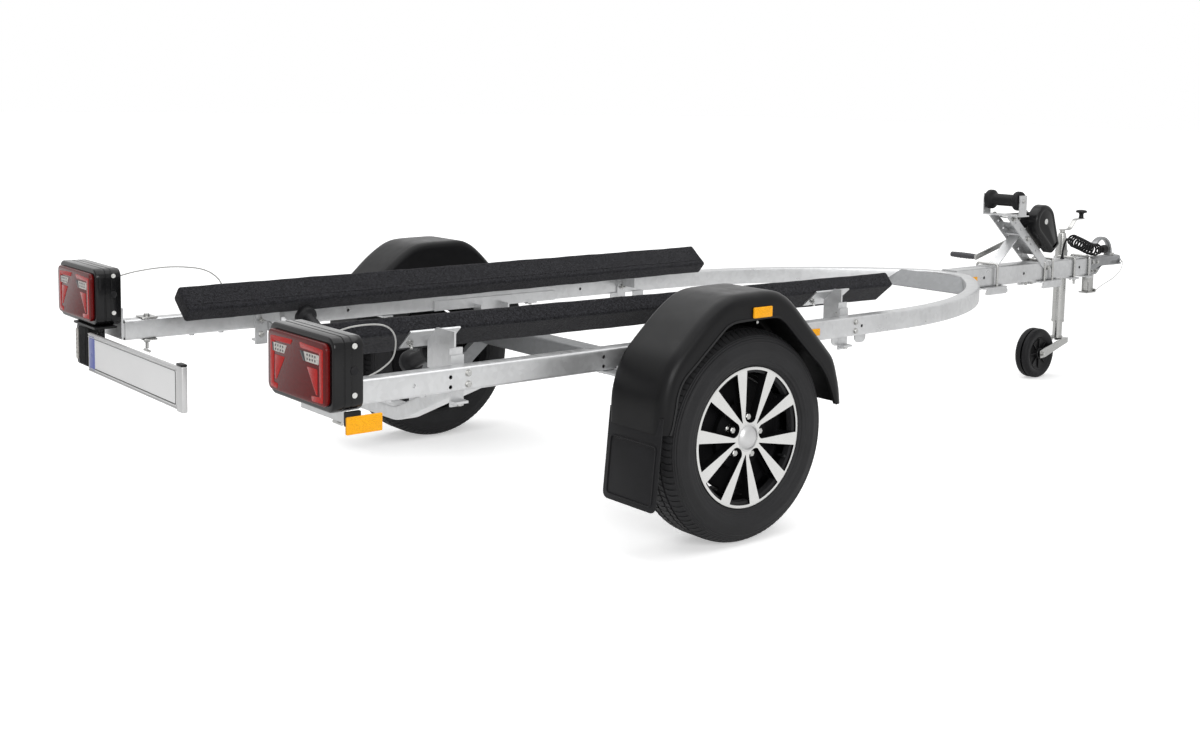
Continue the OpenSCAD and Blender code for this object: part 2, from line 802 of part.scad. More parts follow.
// The stand's crank: a cranked flat arm and a knob
module stand_crank() {
    color("silver") from_axle() translate([stand_x, stand_y, stand_high + 72]) {
        cylinder(r = 10, h = 14);
        plate_y(-12, 12) polygon([[-14, 12], [55, 12], [95, 43], [162, 43], [162, 48], [93, 48], [53, 17], [-14, 17]]);
        translate([146, 0, 45]) cylinder(r = 9, h = 29);
        translate([146, 0, 73]) cylinder(r = 21, h = 12);
    }
}

module stand_leg() {
    color("gainsboro") from_axle() translate([stand_x, stand_y, leg_low]) difference() {
        cylinder(r = leg_r, h = stand_high - leg_low - 240);
        translate([0, 0, -over]) cylinder(r = 10 + run_gap, h = 60);
    }
}

// Trailing fork that swivels under the leg, and the pin of the jockey wheel
module stand_fork() {
    half = jockey_w / 2 + 4;
    crown = leg_low - 6 - seat_gap;
    hub = [-fork_reach, jockey_r];
    u = unit(hub - [0, leg_low - 30]);
    n = [-u[1], u[0]];
    color("silver") from_axle() translate([stand_x, stand_y, 0]) {
        translate([0, 0, crown - 2]) cylinder(r = leg_r + 3, h = 8);
        translate([0, 0, crown - 14]) cylinder(r = 10, h = 64);
        box([-26, -half - fork_t, crown - 6], [26, half + fork_t, crown]);
        for (s = [-1, 1])
            plate_y(min(s * half, s * (half + fork_t)), max(s * half, s * (half + fork_t)))
                polygon([[26, crown - 3], [26, crown - 22], hub - 20 * u + 21 * n, hub + 16 * u + 17 * n,
                    hub + 16 * u - 17 * n, hub - 20 * u - 21 * n, [-26, crown - 3]]);
        bar_y(jockey_pin_r, -fork_reach, jockey_r, -half - fork_t - 6, half + fork_t + 6);
    }
}

module jockey_wheel() {
    w = jockey_w / 2;
    r = jockey_r;
    color("#202020") from_axle() translate([stand_x - fork_reach, stand_y, r]) difference() {
        rotate([-90, 0, 0]) rotate_extrude($fn = 96)
            polygon([[0, -w], [30, -w], [30, -w + 14], [r * 0.6, -w + 14], [r * 0.66, -w + 2],
                [r * 0.84, -w + 2], [r * 0.95, -w + 9], [r, -w + 20], [r, w - 20], [r * 0.95, w - 9],
                [r * 0.84, w - 2], [r * 0.66, w - 2], [r * 0.6, w - 14], [30, w - 14], [30, w], [0, w]]);
        bar_y(jockey_pin_r + run_gap, 0, 0, -w - over, w + over);
    }
}

// Head that clips over the tow ball: an end plate on the drawbar, a body with a lipped nose and a casting below
module coupling_head() {
    rear = drawbar_end + seat_gap;
    ball_x = axle_to_nose - nose_r;
    lip = 6;
    color("silver") from_axle() difference() {
        union() {
            box([rear, -drawbar_half, drawbar_z], [rear + 6, drawbar_half, drawbar_top]);
            box([rear, -head_half, neck_low], [ball_x, head_half, neck_top]);
            translate([ball_x, 0, neck_low]) cylinder(r = head_half, h = neck_top - neck_low);
            box([rear + 60, -nose_r, neck_low], [ball_x, nose_r, neck_low + lip]);
            translate([ball_x, 0, neck_low]) cylinder(r = nose_r, h = lip);
            box([ball_x - 7, -nose_r, neck_low + 14], [ball_x + 7, 0, neck_low + 26]);
            plate_y(-head_half + 3, head_half - 3)
                polygon([[rear, drawbar_z - 3], [rear + 72, drawbar_z - 3], [rear + 118, neck_low + 2],
                    [rear, neck_low + 2]]);
        }
        translate([ball_x, 0, neck_low - over]) cylinder(r = socket_r, h = socket_depth + over);
    }
}

// The arched lever on top of the head: a ring from its pivot round to its free end
module coupling_handle() {
    r_in = 64;
    r_out = 82;
    at = [axle_to_nose - 145, neck_top + 8];
    color("silver") from_axle() difference() {
        plate_y(-15, 15) translate(at) ring_sector(r_in, r_out, -12, 70);
        box([at[0], -20, drawbar_z], [axle_to_nose, 20, neck_top + seat_gap]);
    }
    color("silver") from_axle() plate_y(-15, 15) translate(at) ring_sector(r_in, r_out, 69, 150);
}

// Bracket under the coupling that parks the plug
module plug_holder() {
    x0 = axle_to_nose - 272;
    color("silver") from_axle() {
        box([x0, -22, drawbar_z - 87], [x0 + 70, 22, drawbar_z - 70]);
        box([x0 + 14, -16, drawbar_z - 72], [x0 + 56, 16, drawbar_z - 3]);
    }
}

// A tube of eight sides along a list of points
function unit(v) = v / norm(v);
function tangent(p, i) = unit(p[min(i + 1, len(p) - 1)] - p[max(i - 1, 0)]);
function side_of(t) = unit(cross(t, abs(t[2]) < 0.9 ? [0, 0, 1] : [1, 0, 0]));
module sweep(p, r, sides) {
    rings = [for (i = [0:len(p) - 1], k = [0:sides - 1])
        let (t = tangent(p, i), a = side_of(t), b = cross(t, a))
            p[i] + r * (a * cos(360 * k / sides) + b * sin(360 * k / sides))];
    last = len(p) - 1;
    walls = [for (i = [0:last - 1], k = [0:sides - 1])
        let (a = i * sides + k, b = i * sides + (k + 1) % sides)
            each [[a, b, b + sides], [a, b + sides, a + sides]]];
    ends = [[for (k = [sides - 1:-1:0]) k], [for (k = [0:sides - 1]) last * sides + k]];
    polyhedron(points = rings, faces = concat(walls, ends), convexity = 10);
}

// Routes from the coupling's nose and the drawbar's underside
function from_nose(route) = [for (q = route) [axle_to_nose + q[0], q[1], drawbar_z + q[2]]];

// The thin breakaway wire, from the coupling's nose to the plug holder
wire_route = [[-36, -37.6, 54], [-36, -46, 46], [-40, -50, 32], [-54, -52, 12], [-78, -51, -8],
    [-108, -47, -26], [-140, -41, -40], [-170, -33, -54], [-196, -26, -70], [-208, -23.6, -78]];
module safety_wire() {
    color("silver") from_axle() sweep(from_nose(wire_route), 1.5, 8);
}

// The lead's plain stretch, from the drawbar's top up to its curly stretch
tail_route = [[-466, -10, 80.4], [-466, -10, 92], [-468, -12, 106], [-472, -16, 122], [-472, -20, 140],
    [-470, -24, 156], [-464, -27.4, 168.6], [-452.6, -29.9, 166.1]];
module lead_tail() {
    color("#141414") from_axle() sweep(from_nose(tail_route), 4, 8);
}

// The curly stretch's outer shape, lying over the drawbar's front end
coil_route = [[-452, -30, 166], [-434, -34, 162], [-412, -36, 155], [-388, -36, 148], [-362, -36, 140],
    [-336, -37, 131], [-308, -39, 121], [-280, -42, 114], [-254, -44, 112], [-228, -44, 112]];
module lead_coil() {
    color("#141414") from_axle() sweep(from_nose(coil_route), 24, 12);
}

module lead_plug() {
    color("#141414") from_axle() translate([axle_to_nose - 227.5, -44, drawbar_z + 112])
        rotate([0, 90, 0]) cylinder(r = 19, h = 62);
}

// Telescopic arm that carries a light: a flat bar along the rail's end and an upright
module light_arm() {
    x0 = light_rear + light_d;
    y_mid = light_out - light_w / 2;
    inner = half_w - rail_w + rail_wall + 0.5;
    outer = half_w - rail_wall - 0.5;
    box([x0, inner, rail_z + rail_wall + 6], [rail_rear + 320, outer, rail_top - rail_wall - 6]);
    box([x0, min(inner, y_mid - 60), rail_z + 4], [x0 + 6, y_mid + 60, rail_top + 36]);
}

module light_arm_left() {
    color("silver") from_axle() light_arm();
}

module light_arm_right() {
    color("silver") from_axle() on_right() light_arm();
}

module light_box() {
    box([light_rear + lens_t, light_out - light_w, light_low],
        [light_rear + light_d, light_out, light_low + light_h]);
}

module light_box_left() {
    color("#101010") from_axle() light_box();
}

module light_box_right() {
    color("#101010") from_axle() on_right() light_box();
}

module light_lens() {
    rim_w = 14;
    box([light_rear, light_out - light_w + rim_w, light_low + rim_w],
        [light_rear + lens_t, light_out - rim_w, light_low + light_h - rim_w]);
}

module light_lens_left() {
    color("darkred") from_axle() light_lens();
}

module light_lens_right() {
    color("darkred") from_axle() on_right() light_lens();
}

// Upright hinge under the left light, and the plate that swings on it
plate_hinge_y = half_w - 40;
plate_z = light_low - 14 - plate_h;
module plate_hinge() {
    x0 = light_rear + 30;
    color("#141414") from_axle() {
        translate([x0, plate_hinge_y, plate_z]) cylinder(r = 6, h = light_low - plate_z - seat_gap);
        box([x0 - 26, plate_hinge_y - 20, light_low - 6 - seat_gap],
            [x0 + 40, plate_hinge_y + 150, light_low - seat_gap]);
    }
}

module number_plate() {
    x0 = light_rear + 30;
    y1 = plate_hinge_y - move_gap;
    color("white") from_axle() difference() {
        union() {
            box([-rear_overhang, y1 - plate_l, plate_z], [10 - rear_overhang, y1, plate_z + plate_h]);
            box([-rear_overhang, y1 - 12, plate_z + 4], [x0, y1 + 14, plate_z + plate_h - 4]);
            translate([x0, plate_hinge_y, plate_z + 4]) cylinder(r = 11, h = plate_h - 8);
        }
        translate([x0, plate_hinge_y, plate_z - over]) cylinder(r = 6 + run_gap, h = plate_h + 2 * over);
    }
}

module plate_lamp() {
    color("#141414") from_axle()
        box([light_rear + 6, plate_hinge_y + 64, plate_z - 4],
            [light_rear + 70, plate_hinge_y + 150, light_low - 6 - seat_gap]);
}

rail_left();
rail_right();
bow_left();
bow_right();
nose_gusset();
drawbar();
cross_beam();
axle_tube();
axle_brackets();
axle_arms();
hub_left();
hub_right();
rim_left();
rim_right();
tyre_left();
tyre_right();
mudguard_left();
mudguard_right();
mudguard_stays();
mud_flaps();
bunk_left();
bunk_right();
bunk_posts();
bunk_cradles();
hull_roller_left();
hull_roller_right();
hull_roller_brackets();
winch_post();
winch_brace();
winch_frame();
winch_cover();
winch_drum();
winch_crank();
winch_strap();
bow_roller_bracket();
bow_roller();
drawbar_clamps();
stand_clamp();
stand_tube();
stand_crank();
stand_leg();
stand_fork();
jockey_wheel();
coupling_head();
coupling_handle();
plug_holder();
safety_wire();
lead_tail();
lead_coil();
lead_plug();
light_arm_left();
light_arm_right();
light_box_left();
light_box_right();
light_lens_left();
light_lens_right();
plate_hinge();
number_plate();
plate_lamp();
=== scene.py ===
"""Boat trailer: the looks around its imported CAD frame. Metres, +X to the tow ball, +Y left, +Z up."""

import itertools
import json
import math

import bmesh
import bpy
import numpy as np
from mathutils import Matrix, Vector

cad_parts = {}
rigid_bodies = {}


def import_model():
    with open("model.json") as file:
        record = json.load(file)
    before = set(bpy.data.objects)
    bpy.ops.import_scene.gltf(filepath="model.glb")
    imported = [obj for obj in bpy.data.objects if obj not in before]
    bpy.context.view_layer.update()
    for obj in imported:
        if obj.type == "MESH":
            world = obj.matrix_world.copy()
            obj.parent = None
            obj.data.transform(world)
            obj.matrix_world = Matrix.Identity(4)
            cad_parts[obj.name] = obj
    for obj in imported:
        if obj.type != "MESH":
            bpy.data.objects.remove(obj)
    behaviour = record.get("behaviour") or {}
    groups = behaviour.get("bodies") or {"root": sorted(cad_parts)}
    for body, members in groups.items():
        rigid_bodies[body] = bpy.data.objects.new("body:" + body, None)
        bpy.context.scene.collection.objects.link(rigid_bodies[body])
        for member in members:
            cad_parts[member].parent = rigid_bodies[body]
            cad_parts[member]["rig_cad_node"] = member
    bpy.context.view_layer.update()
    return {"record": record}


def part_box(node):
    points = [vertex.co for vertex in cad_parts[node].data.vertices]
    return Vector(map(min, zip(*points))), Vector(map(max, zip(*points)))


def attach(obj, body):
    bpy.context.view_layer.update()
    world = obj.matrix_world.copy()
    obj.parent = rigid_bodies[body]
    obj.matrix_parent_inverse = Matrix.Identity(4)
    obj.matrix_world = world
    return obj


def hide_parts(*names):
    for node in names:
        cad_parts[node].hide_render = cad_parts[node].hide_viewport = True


bl_info = {
    "name": "Boat trailer",
    "version": (1, 0, 0),
    "blender": (4, 5, 0),
    "location": "3D View > Sidebar > Trailer",
    "description": "Finishes a single-axle bunk trailer around its packed frame",
    "category": "Object",
}

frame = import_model()

SIDES = {"left": 1.0, "right": -1.0}


# ---- places worked out from the frame ----

def low(node):
    """Lowest corner of a CAD node."""
    return np.array(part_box(node)[0])


def high(node):
    """Highest corner of a CAD node."""
    return np.array(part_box(node)[1])


def middle(node):
    """Middle of a CAD node's box."""
    return (low(node) + high(node)) / 2


def joint(name):
    """A joint of the frame by its name."""
    return next(j for j in frame["record"]["behaviour"]["joints"] if j["name"] == name)


WHEEL = np.array(joint("wheel_left_spin")["pos_m"])
AXLE_X = WHEEL[0]
TYRE_R = high("tyre_left")[0] - AXLE_X
RAIL_LOW = low("rail_left")
RAIL_HIGH = high("rail_left")
RAIL_TOP = RAIL_HIGH[2]
RAIL_W = RAIL_HIGH[1] - RAIL_LOW[1]
RAIL_H = RAIL_HIGH[2] - RAIL_LOW[2]
HALF_W = RAIL_HIGH[1]
BAR_LOW = low("drawbar")
BAR_HIGH = high("drawbar")
GUARD_LOW = low("mudguard_left")
GUARD_HIGH = high("mudguard_left")
BOW_TURN = math.radians(48)
BUNK_TILT = math.radians(40)
BUNK_SPREAD = math.radians(2)


# ---- shapes: each is (vertices, faces) ----

def surface(points, wrap_u=False, wrap_v=False):
    """A grid of points p[u, v] as quads, closed round u or v where asked."""
    nu, nv = points.shape[:2]
    iu = np.arange(nu if wrap_u else nu - 1)
    iv = np.arange(nv if wrap_v else nv - 1)
    u, v = np.meshgrid(iu, iv, indexing="ij")
    u2, v2 = (u + 1) % nu, (v + 1) % nv
    quads = np.stack([u * nv + v, u * nv + v2, u2 * nv + v2, u2 * nv + v], -1).reshape(-1, 4)
    return points.reshape(-1, 3), [tuple(q) for q in quads.tolist()]


def join(*shapes):
    """Several shapes as one."""
    verts, faces, base = [], [], 0
    for v, f in shapes:
        verts.append(v)
        faces += [tuple(i + base for i in face) for face in f]
        base += len(v)
    return np.concatenate(verts), faces


def capped(points, wrap_v=True):
    """A stack of closed rings p[u, v] with a face across its first and last ring."""
    verts, faces = surface(points, wrap_v=wrap_v)
    nu, nv = points.shape[:2]
    return verts, faces + [tuple(range(nv))[::-1], tuple(range((nu - 1) * nv, nu * nv))]


def moved(shape, offset=(0, 0, 0), turn=None):
    """A shape turned by a 3x3 matrix and then moved."""
    verts, faces = shape
    if turn is not None:
        verts = verts @ np.asarray(turn).T
    return verts + np.asarray(offset, float), faces


def mirrored(shape, side=-1.0):
    """A shape on the other side of the centre line, where side is -1."""
    verts, faces = shape
    return (verts * (1, side, 1), faces if side > 0 else [f[::-1] for f in faces])


def axes_of(direction, hint=(0, 0, 1)):
    """A matrix whose third column is a direction and whose second lies towards the hint."""
    w = np.array(direction, float)
    w /= np.linalg.norm(w)
    h = np.array(hint, float)
    if abs(w @ h) > 0.95 * np.linalg.norm(h):
        h = np.array((1.0, 0, 0))
    u = np.cross(h, w)
    u /= np.linalg.norm(u)
    return np.stack([u, np.cross(w, u), w], 1)


def mm(*points):
    """Points given in millimetres, in metres."""
    return [tuple(v / 1000 for v in p) for p in points]


def circle(radius, count):
    """Points round a circle: r(cos t, sin t)."""
    t = np.arange(count) * 2 * math.pi / count
    return np.stack([radius * np.cos(t), radius * np.sin(t)], 1)


def round_rect(w, h, r, steps=4):
    """A rectangle whose corners are arcs: each corner's centre plus r(cos t, sin t)."""
    t = np.linspace(0, math.pi / 2, steps + 1)
    corners = []
    for k, (x, y) in enumerate(((1, 1), (-1, 1), (-1, -1), (1, -1))):
        turned = t + k * math.pi / 2
        corners.append(np.stack([x * (w / 2 - r) + r * np.cos(turned),
                                 y * (h / 2 - r) + r * np.sin(turned)], 1))
    return np.concatenate(corners)


def filleted(points, radius, steps=5, closed=True):
    """A polyline whose corners are rounded by quadratic arcs that start one radius before them."""
    p = np.array(points, float)
    count = len(p)
    radii = np.broadcast_to(radius, count)
    t = np.linspace(0, 1, steps + 1)[:, None]
    out = []
    for i in range(count):
        if not closed and i in (0, count - 1):
            out.append(p[i:i + 1])
            continue
        a, b, c = p[i - 1], p[i], p[(i + 1) % count]
        ra = min(radii[i], 0.49 * np.linalg.norm(a - b))
        rc = min(radii[i], 0.49 * np.linalg.norm(c - b))
        start = b + (a - b) * ra / np.linalg.norm(a - b)
        end = b + (c - b) * rc / np.linalg.norm(c - b)
        out.append((1 - t) ** 2 * start + 2 * t * (1 - t) * b + t ** 2 * end)
    return np.concatenate(out)


def inset(outline, d):
    """A closed outline moved inwards by d along the mean of its two edge normals."""
    before = outline - np.roll(outline, 1, 0)
    after = np.roll(outline, -1, 0) - outline
    n1 = np.stack([-before[:, 1], before[:, 0]], 1) / (np.linalg.norm(before, axis=1)[:, None] + 1e-12)
    n2 = np.stack([-after[:, 1], after[:, 0]], 1) / (np.linalg.norm(after, axis=1)[:, None] + 1e-12)
    n = n1 + n2
    n /= np.maximum((n * n1).sum(1), 0.5)[:, None]
    x, y = outline.T
    turning = np.sign((x * np.roll(y, -1) - np.roll(x, -1) * y).sum())
    return outline + n * d * turning


def prism(outline, thick, edge=0.0, steps=2):
    """An outline in XY raised along Z from 0 to thick, with edges rounded by quarter arcs."""
    edge = min(edge, thick * 0.49)
    if edge <= 0:
        levels = [(0, 0), (0, thick)]
    else:
        t = np.linspace(0, math.pi / 2, steps + 1)
        down = [(edge * (1 - math.sin(a)), edge * (1 - math.cos(a))) for a in t]
        levels = down + [(d, thick - z) for d, z in reversed(down)]
    rings = [np.c_[inset(outline, d), np.full(len(outline), z)] for d, z in levels]
    return capped(np.array(rings))


def lathe(profile, count=48):
    """A profile of (radius, height) turned about Z: (r cos t, r sin t, h)."""
    p = np.array(profile, float)
    t = np.arange(count) * 2 * math.pi / count
    pts = np.stack([p[:, None, 0] * np.cos(t), p[:, None, 0] * np.sin(t), np.repeat(p[:, 1:2], count, 1)],
                   -1)
    return surface(pts, wrap_v=True)


TO_Y = axes_of((0, 1, 0))


def lathe_y(profile, at, count=48):
    """A lathe about an axis along Y through a point."""
    return moved(lathe(profile, count), at, TO_Y)


def tangents(path, closed=False):
    """Unit directions along a path, from each point's two neighbours."""
    if closed:
        d = np.roll(path, -1, 0) - np.roll(path, 1, 0)
    else:
        d = np.gradient(path, axis=0)
    return d / np.linalg.norm(d, axis=1)[:, None]


def carried(section, path, up=(0, 0, 1), closed=False, scale=None):
    """A section (a, b) carried along a path: p + a (t x up) + b (the part of up across t), as a grid
    p[u, v]."""
    path = np.array(path, float)
    t = tangents(path, closed)
    b = np.broadcast_to(np.array(up, float), t.shape)
    b = b - (b * t).sum(1)[:, None] * t
    b = b / np.linalg.norm(b, axis=1)[:, None]
    a = np.cross(t, b)
    size = np.ones(len(path)) if scale is None else np.array(scale, float)
    s = section[None] * size[:, None, None]
    return path[:, None] + s[..., :1] * a[:, None] + s[..., 1:] * b[:, None]


def sweep(section, path, up=(0, 0, 1), closed=False, scale=None):
    """A solid bar: a section carried along a path, with its two ends closed."""
    pts = carried(section, path, up, closed, scale)
    return surface(pts, wrap_u=True, wrap_v=True) if closed else capped(pts)


def across_path(along):
    """A unit vector across each direction of a path: the one before, less its part along the path, so
    no twist."""
    across = np.zeros_like(along)
    across[0] = axes_of(along[0])[:, 0]
    for i in range(1, len(along)):
        part = across[i - 1] - (across[i - 1] @ along[i]) * along[i]
        across[i] = part / np.linalg.norm(part)
    return across


def tube(path, radius, sides=10, closed=False, scale=None):
    """A round tube along a path: p + r(a cos t + b sin t), for a and b across the path."""
    path = np.array(path, float)
    along = tangents(path, closed)
    a = across_path(along)
    b = np.cross(along, a)
    ring = circle(1.0, sides)[None]
    size = radius * (np.ones(len(path)) if scale is None else np.array(scale, float))
    pts = path[:, None] + size[:, None, None] * (ring[..., :1] * a[:, None] + ring[..., 1:] * b[:, None])
    return surface(pts, wrap_u=True, wrap_v=True) if closed else capped(pts)


def evenly(path, count):
    """A polyline stepped evenly by its length."""
    reached = np.concatenate([[0], np.cumsum(np.linalg.norm(np.diff(path, axis=0), axis=1))])
    even = np.linspace(0, reached[-1], count)
    return np.stack([np.interp(even, reached, column) for column in path.T], 1)


def smooth_line(points, count):
    """A Catmull-Rom curve through points, evenly stepped in its parameter."""
    p = np.array(points, float)
    p = np.concatenate([2 * p[:1] - p[1:2], p, 2 * p[-1:] - p[-2:-1]])
    s = np.linspace(0, len(p) - 3, count)
    i = np.minimum(s.astype(int), len(p) - 4)
    f = (s - i)[:, None]
    a, b, c, d = p[i], p[i + 1], p[i + 2], p[i + 3]
    return 0.5 * (2 * b + (c - a) * f + (2 * a - 5 * b + 4 * c - d) * f ** 2
                  + (3 * b - a - 3 * c + d) * f ** 3)


def block(lo, hi, edge=0.002, steps=2):
    """A box between two corners with rounded edges all round."""
    lo, hi = np.minimum(lo, hi).astype(float), np.maximum(lo, hi).astype(float)
    size = hi - lo
    edge = min(edge, size.min() * 0.45)
    flat = round_rect(size[0], size[1], edge, steps)
    return moved(prism(flat, size[2], edge, steps), (*((lo + hi) / 2)[:2], lo[2]))


def bar(a, b, w, h, edge=0.001, up=(0, 0, 1)):
    """A straight flat bar between two points, w wide across up and h thick along it."""
    return sweep(round_rect(w, h, min(edge, 0.45 * min(w, h)), 2), [a, b], up)


def washer(radius, rise):
    """A plain disc on the ground."""
    return lathe([(0, 0), (radius, 0), (radius, rise), (0, rise)], 20)


def bolt(at, direction, size=0.010):
    """A hex head with a chamfered top on a washer, standing on a face at a point."""
    r, rise, edge, top = size * 0.9, size * 0.18, size * 0.5, size * 0.62
    head = lathe([(0, rise), (r, rise), (r, rise + edge), (r * 0.86, rise + top), (0, rise + top)], 6)
    return moved(join(head, washer(size * 1.15, rise)), at, axes_of(direction))


def nut(at, direction, size=0.010, tail=0.012):
    """A hex nut on a washer with the end of its stud standing out of it."""
    r, rise, stud, end = size * 0.9, size * 0.18, size * 0.48, size + tail
    flats = lathe([(0, rise), (r, rise), (r, r), (r * 0.85, size), (0, size)], 6)
    thread = lathe([(0, size), (stud, size), (stud, end), (size * 0.4, end + 0.001), (0, end + 0.001)], 14)
    return moved(join(washer(size * 1.2, rise), flats, thread), at, axes_of(direction))


def face_out(mesh, merge=0.0):
    """Turns a mesh's faces outwards, once the points closer than a distance are merged."""
    bm = bmesh.new()
    bm.from_mesh(mesh)
    if merge:
        bmesh.ops.remove_doubles(bm, verts=bm.verts, dist=merge)
        bmesh.ops.dissolve_degenerate(bm, edges=bm.edges, dist=merge / 2)
    bmesh.ops.recalc_face_normals(bm, faces=bm.faces)
    bm.to_mesh(mesh)
    bm.free()


def add_piece(name, shape, finish, node=None, smooth=35.0, body="chassis", slot=None):
    """Puts a shape into a mesh, with its finish and body, and hides the nodes it stands for.

    smooth is the sharpest edge that is shaded smooth, in degrees; slot is not used.
    """
    verts, faces = shape
    mesh = bpy.data.meshes.new(name)
    mesh.from_pydata(verts, [], faces)
    face_out(mesh, 2e-6)
    obj = bpy.data.objects.new(name, mesh)
    bpy.context.scene.collection.objects.link(obj)
    mesh.materials.append(FINISH[finish])
    mesh.shade_smooth()
    mesh.set_sharp_from_angle(angle=math.radians(smooth))
    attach(obj, body)
    slot = slot or SLOTS.get(finish)
    if node:
        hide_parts(*([node] if isinstance(node, str) else node))
    return obj


# ---- finishes ----

FINISH = {}
SLOTS = {"galvanised": "galvanised_steel", "cast_zinc": "galvanised_steel", "axle_zinc": "axle_steel",
         "plated": "zinc_plate", "machined": "zinc_plate", "satin_alloy": "alloy", "barrel": "alloy",
         "gloss_black": "gloss_black", "dark_chrome": "gloss_black", "gloss_cover": "black_plastic",
         "guard_plastic": "black_plastic", "plastic": "black_plastic", "grip_plastic": "black_plastic",
         "flap_rubber": "black_plastic", "tyre": "tyre_rubber", "rubber": "black_rubber",
         "cable": "cable_jacket", "carpet": "carpet", "webbing": "webbing", "lens_dark": "red_lens",
         "lens_red": "red_lens", "plate_white": "plate_white", }
RANGE = ("From Min", "From Max", "To Min", "To Max")


class Finish:
    """A procedural material, built node by node round one Principled shader."""

    def __init__(self, name, color, rough, metal=0.0, **sockets):
        self.material = bpy.data.materials.new(name)
        self.material.use_nodes = True
        self.tree = self.material.node_tree
        self.shader = self.tree.nodes["Principled BSDF"]
        self.shader.inputs["Base Color"].default_value = (*color, 1)
        self.shader.inputs["Roughness"].default_value = rough
        self.shader.inputs["Metallic"].default_value = metal
        for key, value in sockets.items():
            self.shader.inputs[key.replace("_", " ")].default_value = value
        self.coords = self.add("ShaderNodeTexCoord").outputs["Object"]
        self.normal = None

    def add(self, kind, **settings):
        """A new node with its settings."""
        node = self.tree.nodes.new(kind)
        for key, value in settings.items():
            setattr(node, key, value)
        return node

    def link(self, a, b):
        """Joins an output to an input."""
        self.tree.links.new(a, b)

    def noise(self, scale, detail=4.0, stretch=None, rough=0.55):
        """Noise on the object's own coordinates, stretched along an axis where asked."""
        node = self.add("ShaderNodeTexNoise")
        node.inputs["Scale"].default_value = scale
        node.inputs["Detail"].default_value = detail
        node.inputs["Roughness"].default_value = rough
        self.link(self.stretched(stretch), node.inputs["Vector"])
        return node.outputs["Fac"]

    def cells(self, scale, output="Distance"):
        """Voronoi cells on the object's own coordinates."""
        node = self.add("ShaderNodeTexVoronoi", feature="F1")
        node.inputs["Scale"].default_value = scale
        self.link(self.coords, node.inputs["Vector"])
        return node.outputs[output]

    def stretched(self, factors):
        """The object's own coordinates, scaled by axis where asked."""
        if factors is None:
            return self.coords
        node = self.add("ShaderNodeMapping")
        node.inputs["Scale"].default_value = factors
        self.link(self.coords, node.inputs["Vector"])
        return node.outputs["Vector"]

    def ramp(self, source, low_value, high_value, start=0.0, end=1.0):
        """A value mapped from one range to another."""
        node = self.add("ShaderNodeMapRange")
        for key, value in zip(RANGE, (start, end, low_value, high_value)):
            node.inputs[key].default_value = value
        self.link(source, node.inputs["Value"])
        return node.outputs["Result"]

    def tint(self, source, dark, light, start=0.0, end=1.0):
        """Colours the surface by a ramp between two colours."""
        node = self.add("ShaderNodeValToRGB")
        for element, place, color in zip(node.color_ramp.elements, (start, end), (dark, light)):
            element.position, element.color = place, (*color, 1)
        self.link(source, node.inputs["Fac"])
        self.link(node.outputs["Color"], self.shader.inputs["Base Color"])

    def rough(self, socket):
        """Drives the roughness."""
        self.link(socket, self.shader.inputs["Roughness"])

    def bump(self, height, depth, strength=1.0):
        """Adds relief, depth in metres."""
        node = self.add("ShaderNodeBump")
        node.inputs["Strength"].default_value = strength
        node.inputs["Distance"].default_value = depth
        self.link(height, node.inputs["Height"])
        if self.normal:
            self.link(self.normal, node.inputs["Normal"])
        self.normal = node.outputs["Normal"]
        self.link(self.normal, self.shader.inputs["Normal"])

    def mix(self, a, b, factor=0.5):
        """Two values mixed."""
        node = self.add("ShaderNodeMix", data_type="FLOAT")
        node.inputs[0].default_value = factor
        self.link(a, node.inputs[2])
        self.link(b, node.inputs[3])
        return node.outputs[0]


def times(color, factor):
    """A colour made lighter or darker."""
    return tuple(min(1.0, factor * c) for c in color)


def galvanised(name, light, rough, metal=0.75):
    """Hot-dip zinc: flat grey crystals of several sizes under a faint cloudy bloom."""
    f = Finish(name, light, rough, metal)
    crystal = f.cells(70.0, "Color")
    parts = f.add("ShaderNodeSeparateColor")
    f.link(crystal, parts.inputs["Color"])
    cloud = f.noise(9.0, 5.0)
    f.tint(f.mix(parts.outputs["Red"], cloud, 0.80), times(light, 0.84), light, 0.3, 0.7)
    f.rough(f.ramp(f.mix(parts.outputs["Green"], cloud, 0.6), rough - 0.06, rough + 0.08, 0.2, 0.8))
    f.bump(f.noise(140.0, 3.0), 0.00012, 0.6)
    return f.material


def smooth_metal(name, color, rough, metal=1.0, brush=None):
    """Plated, machined or brushed metal; brush is the stretch of its marks."""
    f = Finish(name, color, rough, metal)
    marks = f.noise(30.0, 3.0, brush)
    f.tint(marks, times(color, 0.94), color, 0.3, 0.7)
    f.rough(f.ramp(marks, rough * 0.9, rough * 1.15, 0.3, 0.7))
    f.bump(f.noise(400.0, 2.0, brush), 0.00002, 0.3)
    return f.material


def rubber(name, color, rough, grain=260.0, depth=0.00006):
    """Moulded rubber with a fine grain and a dusty unevenness."""
    f = Finish(name, color, rough, Specular_IOR_Level=0.16)
    cloud = f.noise(14.0, 5.0)
    f.tint(cloud, times(color, 0.8), times(color, 1.25), 0.3, 0.7)
    f.rough(f.ramp(cloud, rough - 0.08, rough + 0.08, 0.3, 0.7))
    f.bump(f.noise(grain, 3.0), depth, 0.8)
    return f.material


